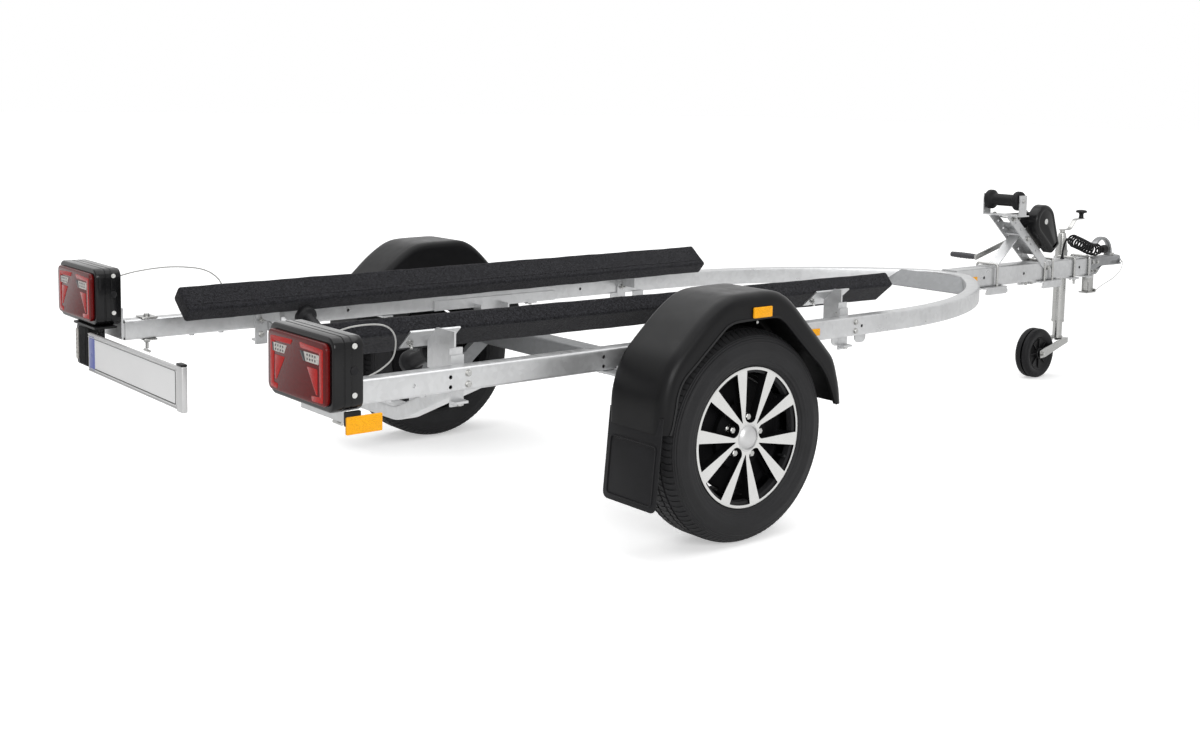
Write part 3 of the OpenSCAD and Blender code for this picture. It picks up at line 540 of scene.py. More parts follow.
def plastic(name, color, rough, grain=420.0, depth=0.00005, coat=0.0, shine=0.22, cloud=0.1):
    """Moulded plastic with a leathery pinhead grain."""
    f = Finish(name, color, rough, Coat_Weight=coat, Coat_Roughness=0.06, Specular_IOR_Level=shine)
    f.tint(f.noise(7.0, 4.0), times(color, 1 - cloud), times(color, 1 + cloud), 0.3, 0.7)
    f.rough(f.ramp(f.noise(30.0, 5.0), rough - 0.04, rough + 0.05, 0.3, 0.7))
    f.bump(f.noise(grain, 2.0), depth, 0.5)
    return f.material


def carpet(name, color):
    """Needle-punched carpet: speckled fibres in a matted, fuzzy surface."""
    f = Finish(name, color, 1.0, Sheen_Weight=0.10, Sheen_Roughness=0.5, Specular_IOR_Level=0.06)
    fibre = f.noise(420.0, 3.0, rough=0.8)
    clump = f.noise(150.0, 4.0, rough=0.75)
    f.tint(f.mix(fibre, clump, 0.40), times(color, 0.25), times(color, 3.2), 0.42, 0.64)
    f.bump(clump, 0.0014, 0.9)
    f.bump(fibre, 0.0009, 0.9)
    return f.material


def woven(name, color, threads=420.0):
    """Webbing: two crossed wave bands make the weave."""
    f = Finish(name, color, 0.85, Sheen_Weight=0.1, Specular_IOR_Level=0.15)
    waves = []
    for direction in ("X", "Y"):
        wave = f.add("ShaderNodeTexWave", bands_direction=direction)
        wave.inputs["Scale"].default_value = threads
        f.link(f.coords, wave.inputs["Vector"])
        waves.append(wave.outputs["Fac"])
    weave = f.mix(*waves)
    f.tint(f.mix(weave, f.noise(300.0), 0.4), times(color, 0.6), times(color, 1.5), 0.3, 0.7)
    f.bump(weave, 0.0006, 0.8)
    return f.material


def lens(name, color, cell, rough=0.08):
    """A coloured lamp lens: small moulded prisms behind a glossy face."""
    f = Finish(name, color, rough, Coat_Weight=0.06, Coat_Roughness=0.02, Specular_IOR_Level=0.12)
    prism_face = f.cells(cell, "Distance")
    f.tint(prism_face, times(color, 0.7), times(color, 1.25), 0.1, 0.7)
    f.bump(prism_face, 0.0006, 0.35)
    return f.material


# ---- cutting and hollow tubes ----

def hollow(w, h, corner, wall, path, up=(0, 0, 1)):
    """A rectangular tube with rounded corners: its outer rings out along a path, its inner ones back."""
    outer = carried(round_rect(w, h, corner, 4), path, up)
    inner = carried(round_rect(w - 2 * wall, h - 2 * wall, max(corner - wall, 0.001), 4), path, up)
    return surface(np.concatenate([outer, inner[::-1]]), wrap_u=True, wrap_v=True)


def cut(obj, shape, overlapping=False):
    """Cuts a closed shape out of a finished piece, whose own parts may run through each other."""
    cutter = bpy.data.objects.new("cutter", bpy.data.meshes.new("cutter"))
    cutter.data.from_pydata(shape[0], [], shape[1])
    face_out(cutter.data)
    bpy.context.scene.collection.objects.link(cutter)
    mod = obj.modifiers.new("cut", "BOOLEAN")
    mod.object, mod.operation, mod.solver, mod.use_self = cutter, "DIFFERENCE", "EXACT", overlapping
    apply_modifiers(obj)
    bpy.data.objects.remove(cutter)


def apply_modifiers(obj):
    """Replaces a piece's mesh by what its modifiers make of it."""
    bpy.context.view_layer.update()
    done = bpy.data.meshes.new_from_object(obj.evaluated_get(bpy.context.evaluated_depsgraph_get()))
    obj.modifiers.clear()
    obj.data = done


# ---- painting ----

def paint(node, finish):
    """Gives a CAD node's own object a procedural finish."""
    obj = next(o for o in bpy.data.objects if o.get("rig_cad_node") == node)
    obj.data.materials.clear()
    obj.data.materials.append(FINISH[finish])
    return obj


def face_data(obj):
    """The centre and the normal of every face."""
    found = []
    for key in ("center", "normal"):
        values = np.zeros(len(obj.data.polygons) * 3)
        obj.data.polygons.foreach_get(key, values)
        found.append(values.reshape(-1, 3))
    return found


def second_finish(obj, finish, test):
    """Gives the faces that pass a test on (centres, normals) a second material."""
    obj.data.materials.append(FINISH[finish])
    index = np.zeros(len(obj.data.polygons), np.int32)
    obj.data.polygons.foreach_get("material_index", index)
    index[test(*face_data(obj))] = len(obj.data.materials) - 1
    obj.data.polygons.foreach_set("material_index", index)


def on_axle(x, y, z):
    """A point whose X is measured from the axle."""
    return np.array((AXLE_X + x, y, z))


# ---- side frame ----

def bow_line(offset):
    """The curved front's line, a distance in from its outer face: a long arc, then a short one to the
    middle.

    The radii follow from the length L, half width H and the first arc's turn: the short one is
    (H - L(1-c)/s) / (c - (1-c)(1-s)/s) and the long one (L - short(1-s)) / s, for c and s its cosine
    and sine.
    """
    start, tip = RAIL_HIGH[0], high("bow_left")[0]
    c, s = math.cos(BOW_TURN), math.sin(BOW_TURN)
    short = (HALF_W - (tip - start) * (1 - c) / s) / (c - (1 - c) * (1 - s) / s)
    long = (tip - start - short * (1 - s)) / s
    t = np.linspace(0, BOW_TURN, 40)
    first = np.stack([start + (long - offset) * np.sin(t), HALF_W - long + (long - offset) * np.cos(t)], 1)
    t = np.linspace(BOW_TURN, math.pi / 2, 30)[1:]
    second = np.stack([tip - short + (short - offset) * np.sin(t), (short - offset) * np.cos(t)], 1)
    return np.concatenate([first, second])


def side_frame(wall):
    """Both rails and the curved front as one bent tube: a straight rail, the front's line and their
    mirror."""
    half = bow_line(RAIL_W / 2)
    rear = np.array([[RAIL_LOW[0], half[0, 1]], [AXLE_X, half[0, 1]]])
    left = np.concatenate([rear, half])
    plan = np.concatenate([left, left[-2::-1] * (1, -1)])
    path = np.c_[plan, np.full(len(plan), RAIL_LOW[2] + RAIL_H / 2)]
    return hollow(RAIL_W, RAIL_H, 0.0065, wall, path)


def drilled(points, radius, depth=0.012):
    """Short closed cylinders along Y at points, to cut holes with."""
    plug = lathe([(0, -depth / 2), (radius, -depth / 2), (radius, depth / 2), (0, depth / 2)], 20)
    return join(*[moved(plug, p, TO_Y) for p in points])


def cross_line():
    """The V-shaped beam's middle line in YZ: level in the middle, with sloping arms."""
    end, mid, arm_depth = high("cross_beam")[1], 0.22, 0.044
    z0, z1 = low("cross_beam")[2] + 0.02, high("cross_beam")[2] - arm_depth / 2
    return np.array([(-end, z1), (-mid, z0), (mid, z0), (end, z1)])


def weld_beads():
    """Rippled beads beside the axle's seats and round the drawbar's root: tubes whose radius waves
    along them."""
    beads = [[on_axle(x, side * (HALF_W - RAIL_W - 0.001), z) for z in np.linspace(0.468, 0.511, 8)]
             for side in (1, -1) for x in (-0.738, -0.678)]
    y, low_z, high_z = 0.038, 0.478, 0.538
    root = np.array([(high("bow_left")[0] + 0.0005, a, b) for a, b in
                     ((-y, low_z), (-y, high_z), (y, high_z), (y, low_z))])
    beads.append(np.concatenate([np.linspace(a, b, 13, endpoint=False) for a,
                                 b in zip(root[:-1], root[1:])]))
    return join(*[tube(b, 0.0032, 8, scale=1 + 0.25 * np.sin(np.arange(len(b)) * 2.4)) for b in beads])


def build_frame(sizes):
    """Side frame, drawbar, cross beam and axle as hollow tubes with their holes, and the CAD steel's
    finishes."""
    rails = add_piece("side_frame", side_frame(sizes.tube_wall), "galvanised",
                      ["rail_left", "rail_right", "bow_left", "bow_right"])
    outer = ((-0.813, 0.014), (-0.319, 0.014), (-0.813, 0.039), (-0.319, 0.039), (-0.92, 0.030),
             (0.36, 0.030), (0.745, 0.030))
    inner = ((-0.45, 0.030), (0.52, 0.030), (0.78, 0.030))
    holes = [on_axle(x, side * HALF_W, RAIL_LOW[2] + z) for side in (1, -1) for x, z in outer]
    holes += [on_axle(x, side * (HALF_W - RAIL_W), RAIL_LOW[2] + z) for side in (1, -1) for x, z in inner]
    cut(rails, drilled(holes, 0.0052))

    front, mid_z, size = BAR_HIGH[0], middle("drawbar")[2], BAR_HIGH[2] - BAR_LOW[2]
    path = [(x, 0, mid_z) for x in (high("bow_left")[0] - 0.006, front - 0.3, front)]
    bar_tube = add_piece("drawbar_tube", hollow(size, size, 0.009, 0.004, path), "galvanised", "drawbar")
    cut(bar_tube, drilled([(x, -size / 2, mid_z) for x in (1.20, 1.48, 1.90)], 0.0065))

    line = filleted(cross_line(), 0.03, 6, closed=False)
    path = np.c_[np.full(len(line), middle("cross_beam")[0]), line]
    beam = hollow(0.04, 0.06, 0.006, 0.003, path, up=(1, 0, 0))
    add_piece("cross_beam_tube", beam, "galvanised", "cross_beam")

    lo, hi, mid = low("axle_tube"), high("axle_tube"), middle("axle_tube")
    path = [(mid[0], y, mid[2]) for y in (lo[1], 0, hi[1])]
    axle = hollow(hi[0] - lo[0], hi[2] - lo[2], 0.010, 0.005, path)
    add_piece("axle_beam", axle, "axle_zinc", "axle_tube")
    for node in ("axle_brackets", "mudguard_stays", "bunk_posts", "bunk_cradles", "hull_roller_brackets",
                 "winch_post", "winch_brace", "bow_roller_bracket", "stand_clamp"):
        paint(node, "galvanised")
    for node in ("nose_gusset", "axle_arms", "hub_left", "hub_right"):
        paint(node, "axle_zinc")
    add_piece("weld_beads", weld_beads(), "galvanised", smooth=60)


# ---- wheels ----

DRAWN_TYRE_R = 0.298
PITCHES = 98
PITCH_STEPS = (0.0, 0.03, 0.15, 0.18, 0.59)
SLANT, SLANT_RATE = 0.36, 70
RIM_FACE = 0.0765
SPOKES, WHEEL_BOLTS = 10, 5
BOLT_RING, VALVE_RING = 0.056, 0.170


def tyre_columns():
    """Across the outer half of a tyre: (radius, offset, groove depth, sipe depth, slant) from the
    middle out.

    The crown is flat with two grooves, and the wall below its shoulder runs down to the bead with
    raised rings,
    each h exp(-((r - r0) / w)^4) high.
    """
    crown = np.array([(0, 0, 0), (6, 0, 4), (12, 0, 4), (15, 0, 4), (16, 7, 0), (21, 7, 0), (22, 0, 5),
                      (28, 0, 5), (34, 0, 5), (38.5, 0, 5), (39.5, 7, 0), (45, 7, 0), (46, 0, 0),
                      (49, 0, 5.5), (55, 0, 5.5), (61, 0, 5), (66.5, 0, 4)]) / 1000
    shoulder = np.array(mm((0, 298), (40, 298), (50.5, 296.5), (60, 293.5), (66.5, 289.5)))
    rows = [(np.interp(y, *shoulder.T), y, groove, sipe, SLANT * math.sin(y * SLANT_RATE))
            for y, groove, sipe in crown]
    wall = smooth_line(mm((289.5, 66.5), (285.5, 73), (279, 79.5), (268, 86.8), (252, 91.6), (236, 92.4),
                          (222, 90.5), (210, 85), (201.5, 78.5), (198.5, 74.5), (196, 71.5)), 58)[1:]
    edge = tangents(wall)
    out = np.stack([-edge[:, 1], edge[:, 0]], 1)
    out *= np.sign(out[:, 1:2])
    rings = ((0.2825, 0.0012, 0.0014), (0.2775, 0.0012, 0.0014), (0.2725, 0.0012, 0.0014),
             (0.2665, 0.0016, 0.0012), (0.2420, 0.0060, 0.0010), (0.2170, 0.0012, 0.0014),
             (0.2080, 0.0024, 0.0020))
    raised = sum(h * np.exp(-((wall[:, 0] - r) / w) ** 4) for r, w, h in rings)
    wall = wall + out * raised[:, None]
    depth = np.interp(wall[:, 0], (0.2805, 0.2885), (0, 0.0035))
    rows += [(r, y, 0, d, SLANT * math.sin(min(y, 0.075) * SLANT_RATE)) for (r, y), d in zip(wall, depth)]
    rows += [(0.190, 0.0705, 0, 0, 0), (0.1795, 0.068, 0, 0, 0), (0.1785, 0.060, 0, 0, 0)]
    return np.array(rows)


def tyre_shape():
    """A tyre about Y: radius and offset of each column, turned round with a slant, less its grooves
    and sipes.

    Angle = 2 pi (step + slant) / steps; the sipes' depth comes off the radius where a step lies in the
    sipe.
    """
    outer = tyre_columns()
    lining = np.array(mm((178.5, 50, 0, 0, 0), (222, 78, 0, 0, 0), (270, 68, 0, 0, 0), (276, 30, 0, 0, 0)))
    half = np.concatenate([outer, lining])
    rows = np.concatenate([half, (half * (1, -1, 1, 1, 1))[:0:-1]])
    steps = (np.arange(PITCHES)[:, None] + np.array(PITCH_STEPS)).ravel()
    place = np.tile(np.arange(len(PITCH_STEPS)), PITCHES)[:, None]
    angle = 2 * math.pi * (steps[:, None] + rows[None, :, 4]) / PITCHES
    sipe = np.where((place == 1) | (place == 2), rows[:, 3],
                    np.where(place == 4, np.minimum(rows[:, 3], 0.0012), 0))
    r = (rows[:, 0] - rows[:, 2] - sipe) * TYRE_R / DRAWN_TYRE_R
    pts = np.stack([r * np.sin(angle), np.broadcast_to(rows[:, 1], r.shape), r * np.cos(angle)], -1)
    return surface(pts, wrap_u=True, wrap_v=True)


def pocket(kind):
    """The outline of an opening between two spokes, on the +Z axis: (across, along) pairs.

    Its two sides open out with the radius; the outer end is an arc about the hub with rounded corners,
    and the
    inner one is a round U about a wheel bolt, or a sharp V.
    """
    if kind == "bolt":
        t = np.linspace(-math.pi / 2, 0, 9)
        inner = np.stack([0.0205 * np.cos(t), 0.057 + 0.0165 * np.sin(t)], 1)
        side = np.array(mm((23.2, 75), (27.6, 105), (33, 140), (39.6, 179)))
    else:
        inner = np.array([(0.0006, 0.0475), (0.0022, 0.0520)])
        side = np.array(mm((6, 66), (15.8, 100), (26.7, 138), (38.3, 178)))
    reach = 0.1878
    last = math.atan2(side[-1, 0], side[-1, 1])
    arc = np.stack([reach * np.sin(a := np.linspace(last * 0.97, 0, 7)), reach * np.cos(a)], 1)
    corner = np.array([side[-1], (side[-1] + arc[0]) / 2 + (0.0012, 0.0008), arc[0]])
    right = np.concatenate([inner, side[:-1], corner, arc[1:]])
    left = right[-2:0:-1] * (-1, 1) if kind == "bolt" else right[-2::-1] * (-1, 1)
    return np.concatenate([right, left])


def rim_shape():
    """A rim about Y, its face at +Y: a lathed barrel whose face is later pierced by ten pockets."""
    face = RIM_FACE
    profile = [(0.1955, face - 0.006), (0.1965, face - 0.002), (0.1955, face), (0.1925, face + 0.0006),
               (0.188, face), (0.160, face - 0.001), (0.100, face - 0.002), (0.060, face - 0.003),
               (0.040, face - 0.002), (0.0, face - 0.002), (0.0, face - 0.030), (0.060, face - 0.030),
               (0.100, face - 0.027), (0.150, face - 0.026), (0.168, face - 0.030), (0.1715, face - 0.045),
               (0.1700, 0.010), (0.158, -0.01), (0.168, -0.035), (0.171, -0.0765), (0.1935, -0.0780),
               (0.1965, -0.0765), (0.1965, -0.0740), (0.1780, -0.0690), (0.1775, -0.022), (0.162, -0.010),
               (0.162, 0.014), (0.1775, 0.030), (0.1775, face - 0.012), (0.1930, face - 0.008)]
    return lathe(profile[::-1], 120)


def pockets(turn):
    """The ten openings, as prisms that reach through the face: round U and sharp V by turns."""
    pieces = []
    for i in range(SPOKES):
        a = turn + i * math.tau / SPOKES
        outline = pocket("v" if i % 2 else "bolt") @ np.array([[math.cos(a), -math.sin(a)],
                                                               [math.sin(a), math.cos(a)]])
        pieces.append(moved(prism(outline, 0.07), (0, 0, RIM_FACE - 0.05)))
    return join(*pieces)


def build_rim(name, side, centre, outward, turn):
    """A pierced rim with a machined face and bevelled edges."""
    body = f"wheel_{name}"
    alloy = add_piece(f"alloy_rim_{name}", moved(rim_shape(), centre, outward), "barrel", f"rim_{name}", 30,
                      body=body)
    cut(alloy, moved(pockets(turn), centre, outward))
    alloy.data.materials.clear()
    alloy.data.materials.append(FINISH["barrel"])

    def bright(c, n):
        """Faces that look outwards in the rim's front plane, and its outer edge."""
        near = np.abs(c[:, 1] - centre[1] - side * RIM_FACE) < 0.0045
        r = np.hypot(c[:, 0] - centre[0], c[:, 2] - centre[2])
        return near & ((np.abs(n[:, 1]) > 0.75) | (r > 0.1935))
    second_finish(alloy, "machined", bright)
    edge = alloy.modifiers.new("edge", "BEVEL")
    edge.width, edge.segments, edge.limit_method = 0.0009, 2, "ANGLE"
    edge.angle_limit, edge.harden_normals, edge.material = math.radians(50), True, -1
    apply_modifiers(alloy)


def build_wheels(sizes):
    """Both wheels: tyre, rim, hub cap, seat behind the spokes, wheel bolts and valve."""
    tyre = tyre_shape()
    cap = mm((0, 11), (12, 10.4), (22, 8.5), (29, 5.2), (32.5, 1.5), (34.5, 0.5), (35, -6), (0, -6))
    collar = mm((0, -6), (38.5, -6), (39.5, -1), (38.5, 0.6), (35.5, 0.6), (35, -4), (0, -4))
    seat = mm((0, -28.5), (92, -28.5), (95, -32), (95, -48), (152, -50), (156, -53), (156, -58), (90, -58),
              (86, -44), (0, -44))
    skirt = mm((0, 0), (12.5, 0), (12.5, 1.5), (10.2, 4), (9.8, 6), (0, 6))
    head = mm((0, 6), (9.8, 6), (9.8, 17), (8.2, 18.6), (0, 18.6))
    valve = mm((0, 0), (4.2, 0), (4.2, 14), (5, 16), (5, 24), (3.4, 26), (0, 26))
    turn = sizes.spoke_turn
    for name, side in SIDES.items():
        centre, body = WHEEL * (1, side, 1), f"wheel_{name}"
        outward = np.array([[1, 0, 0], [0, 0, side], [0, 1, 0]], float)

        def on_face(angle, ring, depth):
            """A place on a ring round the stub, a depth behind the rim's face."""
            return centre + np.array((ring * math.sin(angle), side * (RIM_FACE - depth),
                                      ring * math.cos(angle)))
        add_piece(f"tyre_tread_{name}", moved(tyre, centre), "tyre", f"tyre_{name}", 32, body=body)
        build_rim(name, side, centre, outward, turn)
        hub = moved(join(lathe(cap[::-1], 64), lathe(collar, 64)), on_face(0, 0, 0.002), outward)
        add_piece(f"hub_cap_{name}", hub, "satin_alloy", smooth=30, body=body)
        add_piece(f"wheel_seat_{name}", moved(lathe(seat, 64), on_face(0, 0, 0), outward), "barrel",
                  smooth=30, body=body)
        bolts = []
        for i in range(WHEEL_BOLTS):
            at = on_face(turn + i * math.tau / WHEEL_BOLTS, BOLT_RING, 0.0285)
            bolts += [moved(lathe(skirt, 24), at, outward), moved(lathe(head, 6), at, outward)]
        add_piece(f"wheel_bolts_{name}", join(*bolts), "plated", smooth=30, body=body)
        at = on_face(turn + 3 * math.pi / WHEEL_BOLTS, VALVE_RING, 0.030)
        add_piece(f"valve_{name}", moved(lathe(valve, 14), at, outward), "rubber", body=body)


# ---- mudguards ----

GUARD_OUTER = mm((-351.5, 356), (-351, 420), (-345, 460), (-328, 510), (-300, 552), (-250, 600), (-205,
640), (-160, 672), (-125, 690), (-85, 698.5), (0, 701), (60, 700.5), (100, 690), (145, 660), (215,
592), (285, 524), (315, 490), (334, 440), (345, 400), (351.5, 356))
GUARD_MOUTH = mm((-320, 354), (-311, 374), (-301, 420), (-295, 454), (-275, 493), (-230, 531), (-180,
573), (-130, 614), (-112, 622), (-94, 627), (-40, 629), (56, 630), (92, 616), (130, 583), (172, 544),
(213, 507), (245, 480), (275, 444), (297, 405), (318, 357))


def guard_shell():
    """A mudguard's skin: each station's section runs from the inner wall's edge over the crown to the
    mouth's lip.

    Section at station u: inner edge, straight inner wall, quarter-round shoulder, crown, quarter-round
    shoulder,
    outer wall down to the mouth, and a lip rolled inwards; all between the outer line and the mouth line.
    """
    n = 120
    top, mouth = (evenly(smooth_line(line, n), n) for line in (GUARD_OUTER, GUARD_MOUTH))
    depth = np.linalg.norm(mouth - top, axis=1)[:, None]
    down = (mouth - top) / depth
    y_in, y_out = GUARD_LOW[1], GUARD_HIGH[1]
    r_in, r_out = 0.020, 0.034
    t = np.linspace(0, math.pi / 2, 8)
    rows = [(y_in + 0.001, f * depth) for f in (1.55, 1.0, 0.45)]
    rows += [(y_in + r_in * (1 - math.sin(a)), np.full_like(depth, r_in * (1 - math.cos(a))))
             for a in t[::-1]]
    rows += [(y_in + y, np.zeros_like(depth)) for y in (0.045, 0.090, 0.135, 0.165)]
    drop = 0.9 * r_out
    rows += [(y_out - r_out * (1 - math.sin(a)), np.full_like(depth, drop * (1 - math.cos(a)))) for a in t]
    rows += [(y_out - 0.0002, drop + f * (depth - drop)) for f in (0.30, 0.45, 0.60, 0.75, 0.88, 0.955)]
    rows += [(y_out, depth - 0.003), (y_out - 0.003, depth), (y_out - 0.012, depth + 0.001)]
    pts = [np.c_[(top + down * d)[:, 0], np.full(n, y), (top + down * d)[:, 1]] for y, d in rows]
    return surface(np.stack(pts, 1) + (AXLE_X, 0, 0))


def solid(obj, thick, offset=-1.0):
    """Gives a finished skin its wall thickness, inwards."""
    mod = obj.modifiers.new("wall", "SOLIDIFY")
    mod.thickness, mod.offset, mod.use_quality_normals = thick, offset, True
    apply_modifiers(obj)
    obj.data.set_sharp_from_angle(angle=math.radians(40))


def face_outwards(obj, centre):
    """Turns an open skin so that its faces look away from a point."""
    centres, normals = face_data(obj)
    if ((centres - centre) * normals).sum() < 0:
        obj.data.flip_normals()


def flap_outline(w, h, r):
    """A flap's outline with square upper corners and rounded lower ones."""
    t = np.linspace(0, math.pi / 2, 7)
    low_right = np.stack([w / 2 - r + r * np.sin(t), r - r * np.cos(t)], 1)
    return np.concatenate([low_right, [(w / 2, h), (-w / 2, h)], (low_right * (-1, 1))[::-1]])


def flap_sheet():
    """A leaning flap about its top edge: a rounded sheet with a raised border round a raised field."""
    lo, hi = low("mud_flaps"), high("mud_flaps")
    y0 = GUARD_LOW[1] + 0.002
    w, h = hi[1] - y0, hi[2] - lo[2]
    margin, short = 0.016, 0.075
    x = w / 2 - margin
    plate = prism(flap_outline(w, h, 0.020), 0.0035, 0.001)
    frame_line = filleted([(-x, h - short), (-x, margin), (x, margin), (x, h - short)], 0.012, 5)
    border = sweep(round_rect(0.0045, 0.0035, 0.0012, 2), np.c_[frame_line,
                                                                np.full(len(frame_line), 0.0045)],
                   closed=True)
    field = moved(prism(round_rect(w - 0.036, h - 0.10, 0.010, 4), 0.0010, 0.0004),
                  (0, (h - 0.091) / 2 + margin - 0.0045, 0.0032))
    lean = math.radians(5)
    stand = np.array([[math.cos(lean), 0, math.sin(lean)], [0, 1, 0], [-math.sin(lean), 0, math.cos(lean)]])
    stand = stand @ np.array([[0, 0, -1.0], [1.0, 0, 0], [0, 1.0, 0]])
    hung = moved(join(plate, border, field), (0, -h, 0))
    return moved(hung, on_axle(GUARD_OUTER[0][0] + 0.0088, (y0 + hi[1]) / 2, hi[2]), stand)


def build_mudguards(sizes):
    """Both mudguards, with their reflectors, screws and stays' bolts, and the flaps behind the wheels."""
    shell = guard_shell()
    for name, side in SIDES.items():
        guard = add_piece(f"mudguard_shell_{name}", mirrored(shell, side), "guard_plastic",
                          f"mudguard_{name}", 40)
        face_outwards(guard, WHEEL * (1, side, 1) + (0, 0, 0.05))
        solid(guard, sizes.guard_wall)
        y = side * (GUARD_HIGH[1] + 0.0002)
        reflector = block(on_axle(-0.033, y - side * 0.001, 0.6345),
                          on_axle(0.038, y + side * 0.0062, 0.6640), 0.003, 3)
        add_piece(f"side_reflector_{name}", reflector, "amber")
        screw = bolt(on_axle(-0.010, side * (GUARD_HIGH[1] - 0.0045), 0.622), (0, side, 0), 0.0035)
        add_piece(f"guard_screw_{name}", screw, "plated")
        stays = []
        for x in (-0.3, 0.3):
            stays += [bolt(on_axle(x, side * (HALF_W - dy), RAIL_LOW[2] - 0.006), (0, 0, -1), 0.007)
                      for dy in (0.015, 0.036)]
            stays.append(bolt(on_axle(x, side * (GUARD_LOW[1] - 0.005), 0.489), (0, -side, 0), 0.007))
        add_piece(f"stay_bolts_{name}", join(*stays), "plated")
    flap = flap_sheet()
    add_piece("flap_sheets", join(flap, mirrored(flap)), "flap_rubber", "mud_flaps", 40)


# ---- bunks and hull rollers ----

def bunk_frame(side):
    """A bunk's own axes: along the trailer, down across its sloping top and up out of it, and its top
    edge's middle."""
    cs, ss, ct, st = math.cos(BUNK_SPREAD), math.sin(BUNK_SPREAD), math.cos(BUNK_TILT), math.sin(BUNK_TILT)
    turn = np.array([[cs, -ss * ct, ss * st], [ss, cs * ct, -cs * st], [0, st, ct]])
    at = on_axle(-0.065, 0.437, high("bunk_left")[2])
    return np.diag((1.0, side, 1.0)) @ turn, at * (1, side, 1)


def carpet_board():
    """A carpeted board: a rounded rectangle carried along X, square at its ends, with a wrapped look.

    Ring at station s: the rectangle's outline, swollen by slow waves of half a millimetre, and drawn
    in at the
    two ends by a quarter round.
    """
    long, wide, thick, ahead, corner = 2.104, 0.096, 0.052, 0.025, 0.008
    outline = round_rect(wide, thick, corner, 6)
    dense = []
    for a, b in zip(outline, np.roll(outline, -1, 0)):
        k = max(1, int(np.linalg.norm(b - a) / 0.0035))
        dense.append(a + (b - a) * np.arange(k)[:, None] / k)
    ring = np.concatenate(dense)[None]
    reach = np.array((1.0, 0.7, 0.3, 0.0))
    pulled = np.array((1.0, 0.3, 0.06, 0.0))
    body = np.linspace(-1, 1, 420) * (long / 2 - corner)
    stations = np.concatenate([corner * (1 - reach) - long / 2, body,
                               long / 2 - corner * (1 - reach[::-1])])[:, None]
    draw = corner * np.concatenate([pulled, np.zeros(len(body)), pulled[::-1]])[:, None]
    out = ring / np.maximum(np.linalg.norm(ring, axis=-1, keepdims=True), 1e-6)
    wave = 0.0006 * (np.sin(stations * 23) * np.cos(ring[..., 0] * 60) + np.sin(stations * 61 + 1.3) * 0.5)
    y = ring[..., 0] * (1 - draw / (wide / 2)) + wave * out[..., 0]
    z = ring[..., 1] * (1 - draw / (thick / 2)) + wave * out[..., 1]
    return capped(np.stack([np.broadcast_to(stations + ahead, y.shape), y - wide / 2, z - thick / 2], -1))


def build_bunks():
    """Both carpeted boards, with the seam along their edge and the bolts through cradles, posts and
    rails."""
    shape = carpet_board()
    seam_x = np.linspace(-1.018, 1.068, 300)
    seam = np.stack([seam_x, -0.0745 + 0.0010 * np.sin(seam_x * 19), 0.0003 + 0.0003 * np.sin(seam_x * 90)],
                    1)
    strip = sweep(round_rect(0.0052, 0.0018, 0.0008, 2), seam)
    inside = HALF_W - RAIL_W
    for name, side in SIDES.items():
        turn, at = bunk_frame(side)
        board = add_piece(f"bunk_carpet_{name}", moved(shape, at, turn), "carpet", f"bunk_{name}", 50)
        add_piece(f"bunk_seam_{name}", moved(strip, at, turn), "carpet", smooth=60)
        bolts = []

        def post(x, y, z):
            """A place on this side, its height measured from the rail's underside."""
            return on_axle(x, side * y, RAIL_LOW[2] + z)
        for x in (-0.76, 0.715):
            for dx in (0.010, 0.120):
                under = at + turn @ np.array((x + dx, -0.047, -0.0555))
                bolts.append(nut(under, turn @ np.array((0, 0, -1.0)), 0.008, 0.010))
            for z in (0.028, 0.064):
                bolts.append(nut(post(x, inside - 0.012, z), (0, -side, 0), 0.009, 0.010))
            bolts.append(nut(post(x, inside - 0.006, -0.020), (0, -side, 0), 0.008, 0.008))
            bolts.append(bolt(post(x, inside + 0.012, -0.040), (0, 0, -1), 0.008))
            for z in (0.016, 0.044):
                bolts.append(bolt(post(x, HALF_W - 0.0005, z), (0, side, 0), 0.0085))
        add_piece(f"bunk_bolts_{name}", join(*bolts), "plated")


def waist(length, r, bore):
    """A waisted roller about Z: two rims with rounded lips and rings, and a smooth neck between them."""
    h = length / 2
    neck = r * 0.62
    t = np.linspace(0, 1, 12)
    blend_r = neck + (r - neck) * (t * t * (3 - 2 * t))
    rim_in = h - r * 0.55
    flank = [(rr, rim_in - r * 0.42 + r * 0.42 * tt) for rr, tt in zip(blend_r, t)]
    rim = [(r, rim_in + 0.002), (r, h - r * 0.26)]
    round_t = np.linspace(0, math.pi / 2, 7)
    outer = [(r - r * 0.22 + r * 0.22 * math.cos(a), h - r * 0.26 + r * 0.22 * math.sin(a))
             for a in round_t[1:]]
    face = [(r * 0.62, h - r * 0.04), (r * 0.58, h - r * 0.10), (bore + 0.010, h - r * 0.10),
            (bore + 0.008, h), (bore, h)]
    half = [(neck, 0.0)] + flank + rim + outer + face
    lower = [(a, -b) for a, b in half[1:]]
    return lathe(lower[::-1] + half + [(bore, -h)], 72)


def build_hull_rollers():
    """The waisted rollers on the cross beam, each with a nut at both its ends."""
    for name in SIDES:
        j = joint(f"side_roller_{name}_spin")
        turn = axes_of(j["axis"])
        at = np.array(j["pos_m"])
        add_piece(f"hull_roller_rubber_{name}", moved(waist(0.140, 0.034, 0.00805), at, turn), "rubber",
                  f"hull_roller_{name}", 40, body=f"side_roller_{name}")
        ends = [nut(at + turn @ np.array((0, 0, s * 0.0790)), turn @ np.array((0, 0, s)), 0.010, 0.006)
                for s in (1, -1)]
        add_piece(f"hull_roller_nuts_{name}", join(*ends), "plated")


# ---- winch post, winch and bow roller ----

DRUM = np.array(joint("winch_spool_spin")["pos_m"])
PINION = np.array(joint("winch_handle_spin")["pos_m"])
ROLLER = np.array(joint("front_roller_spin")["pos_m"])


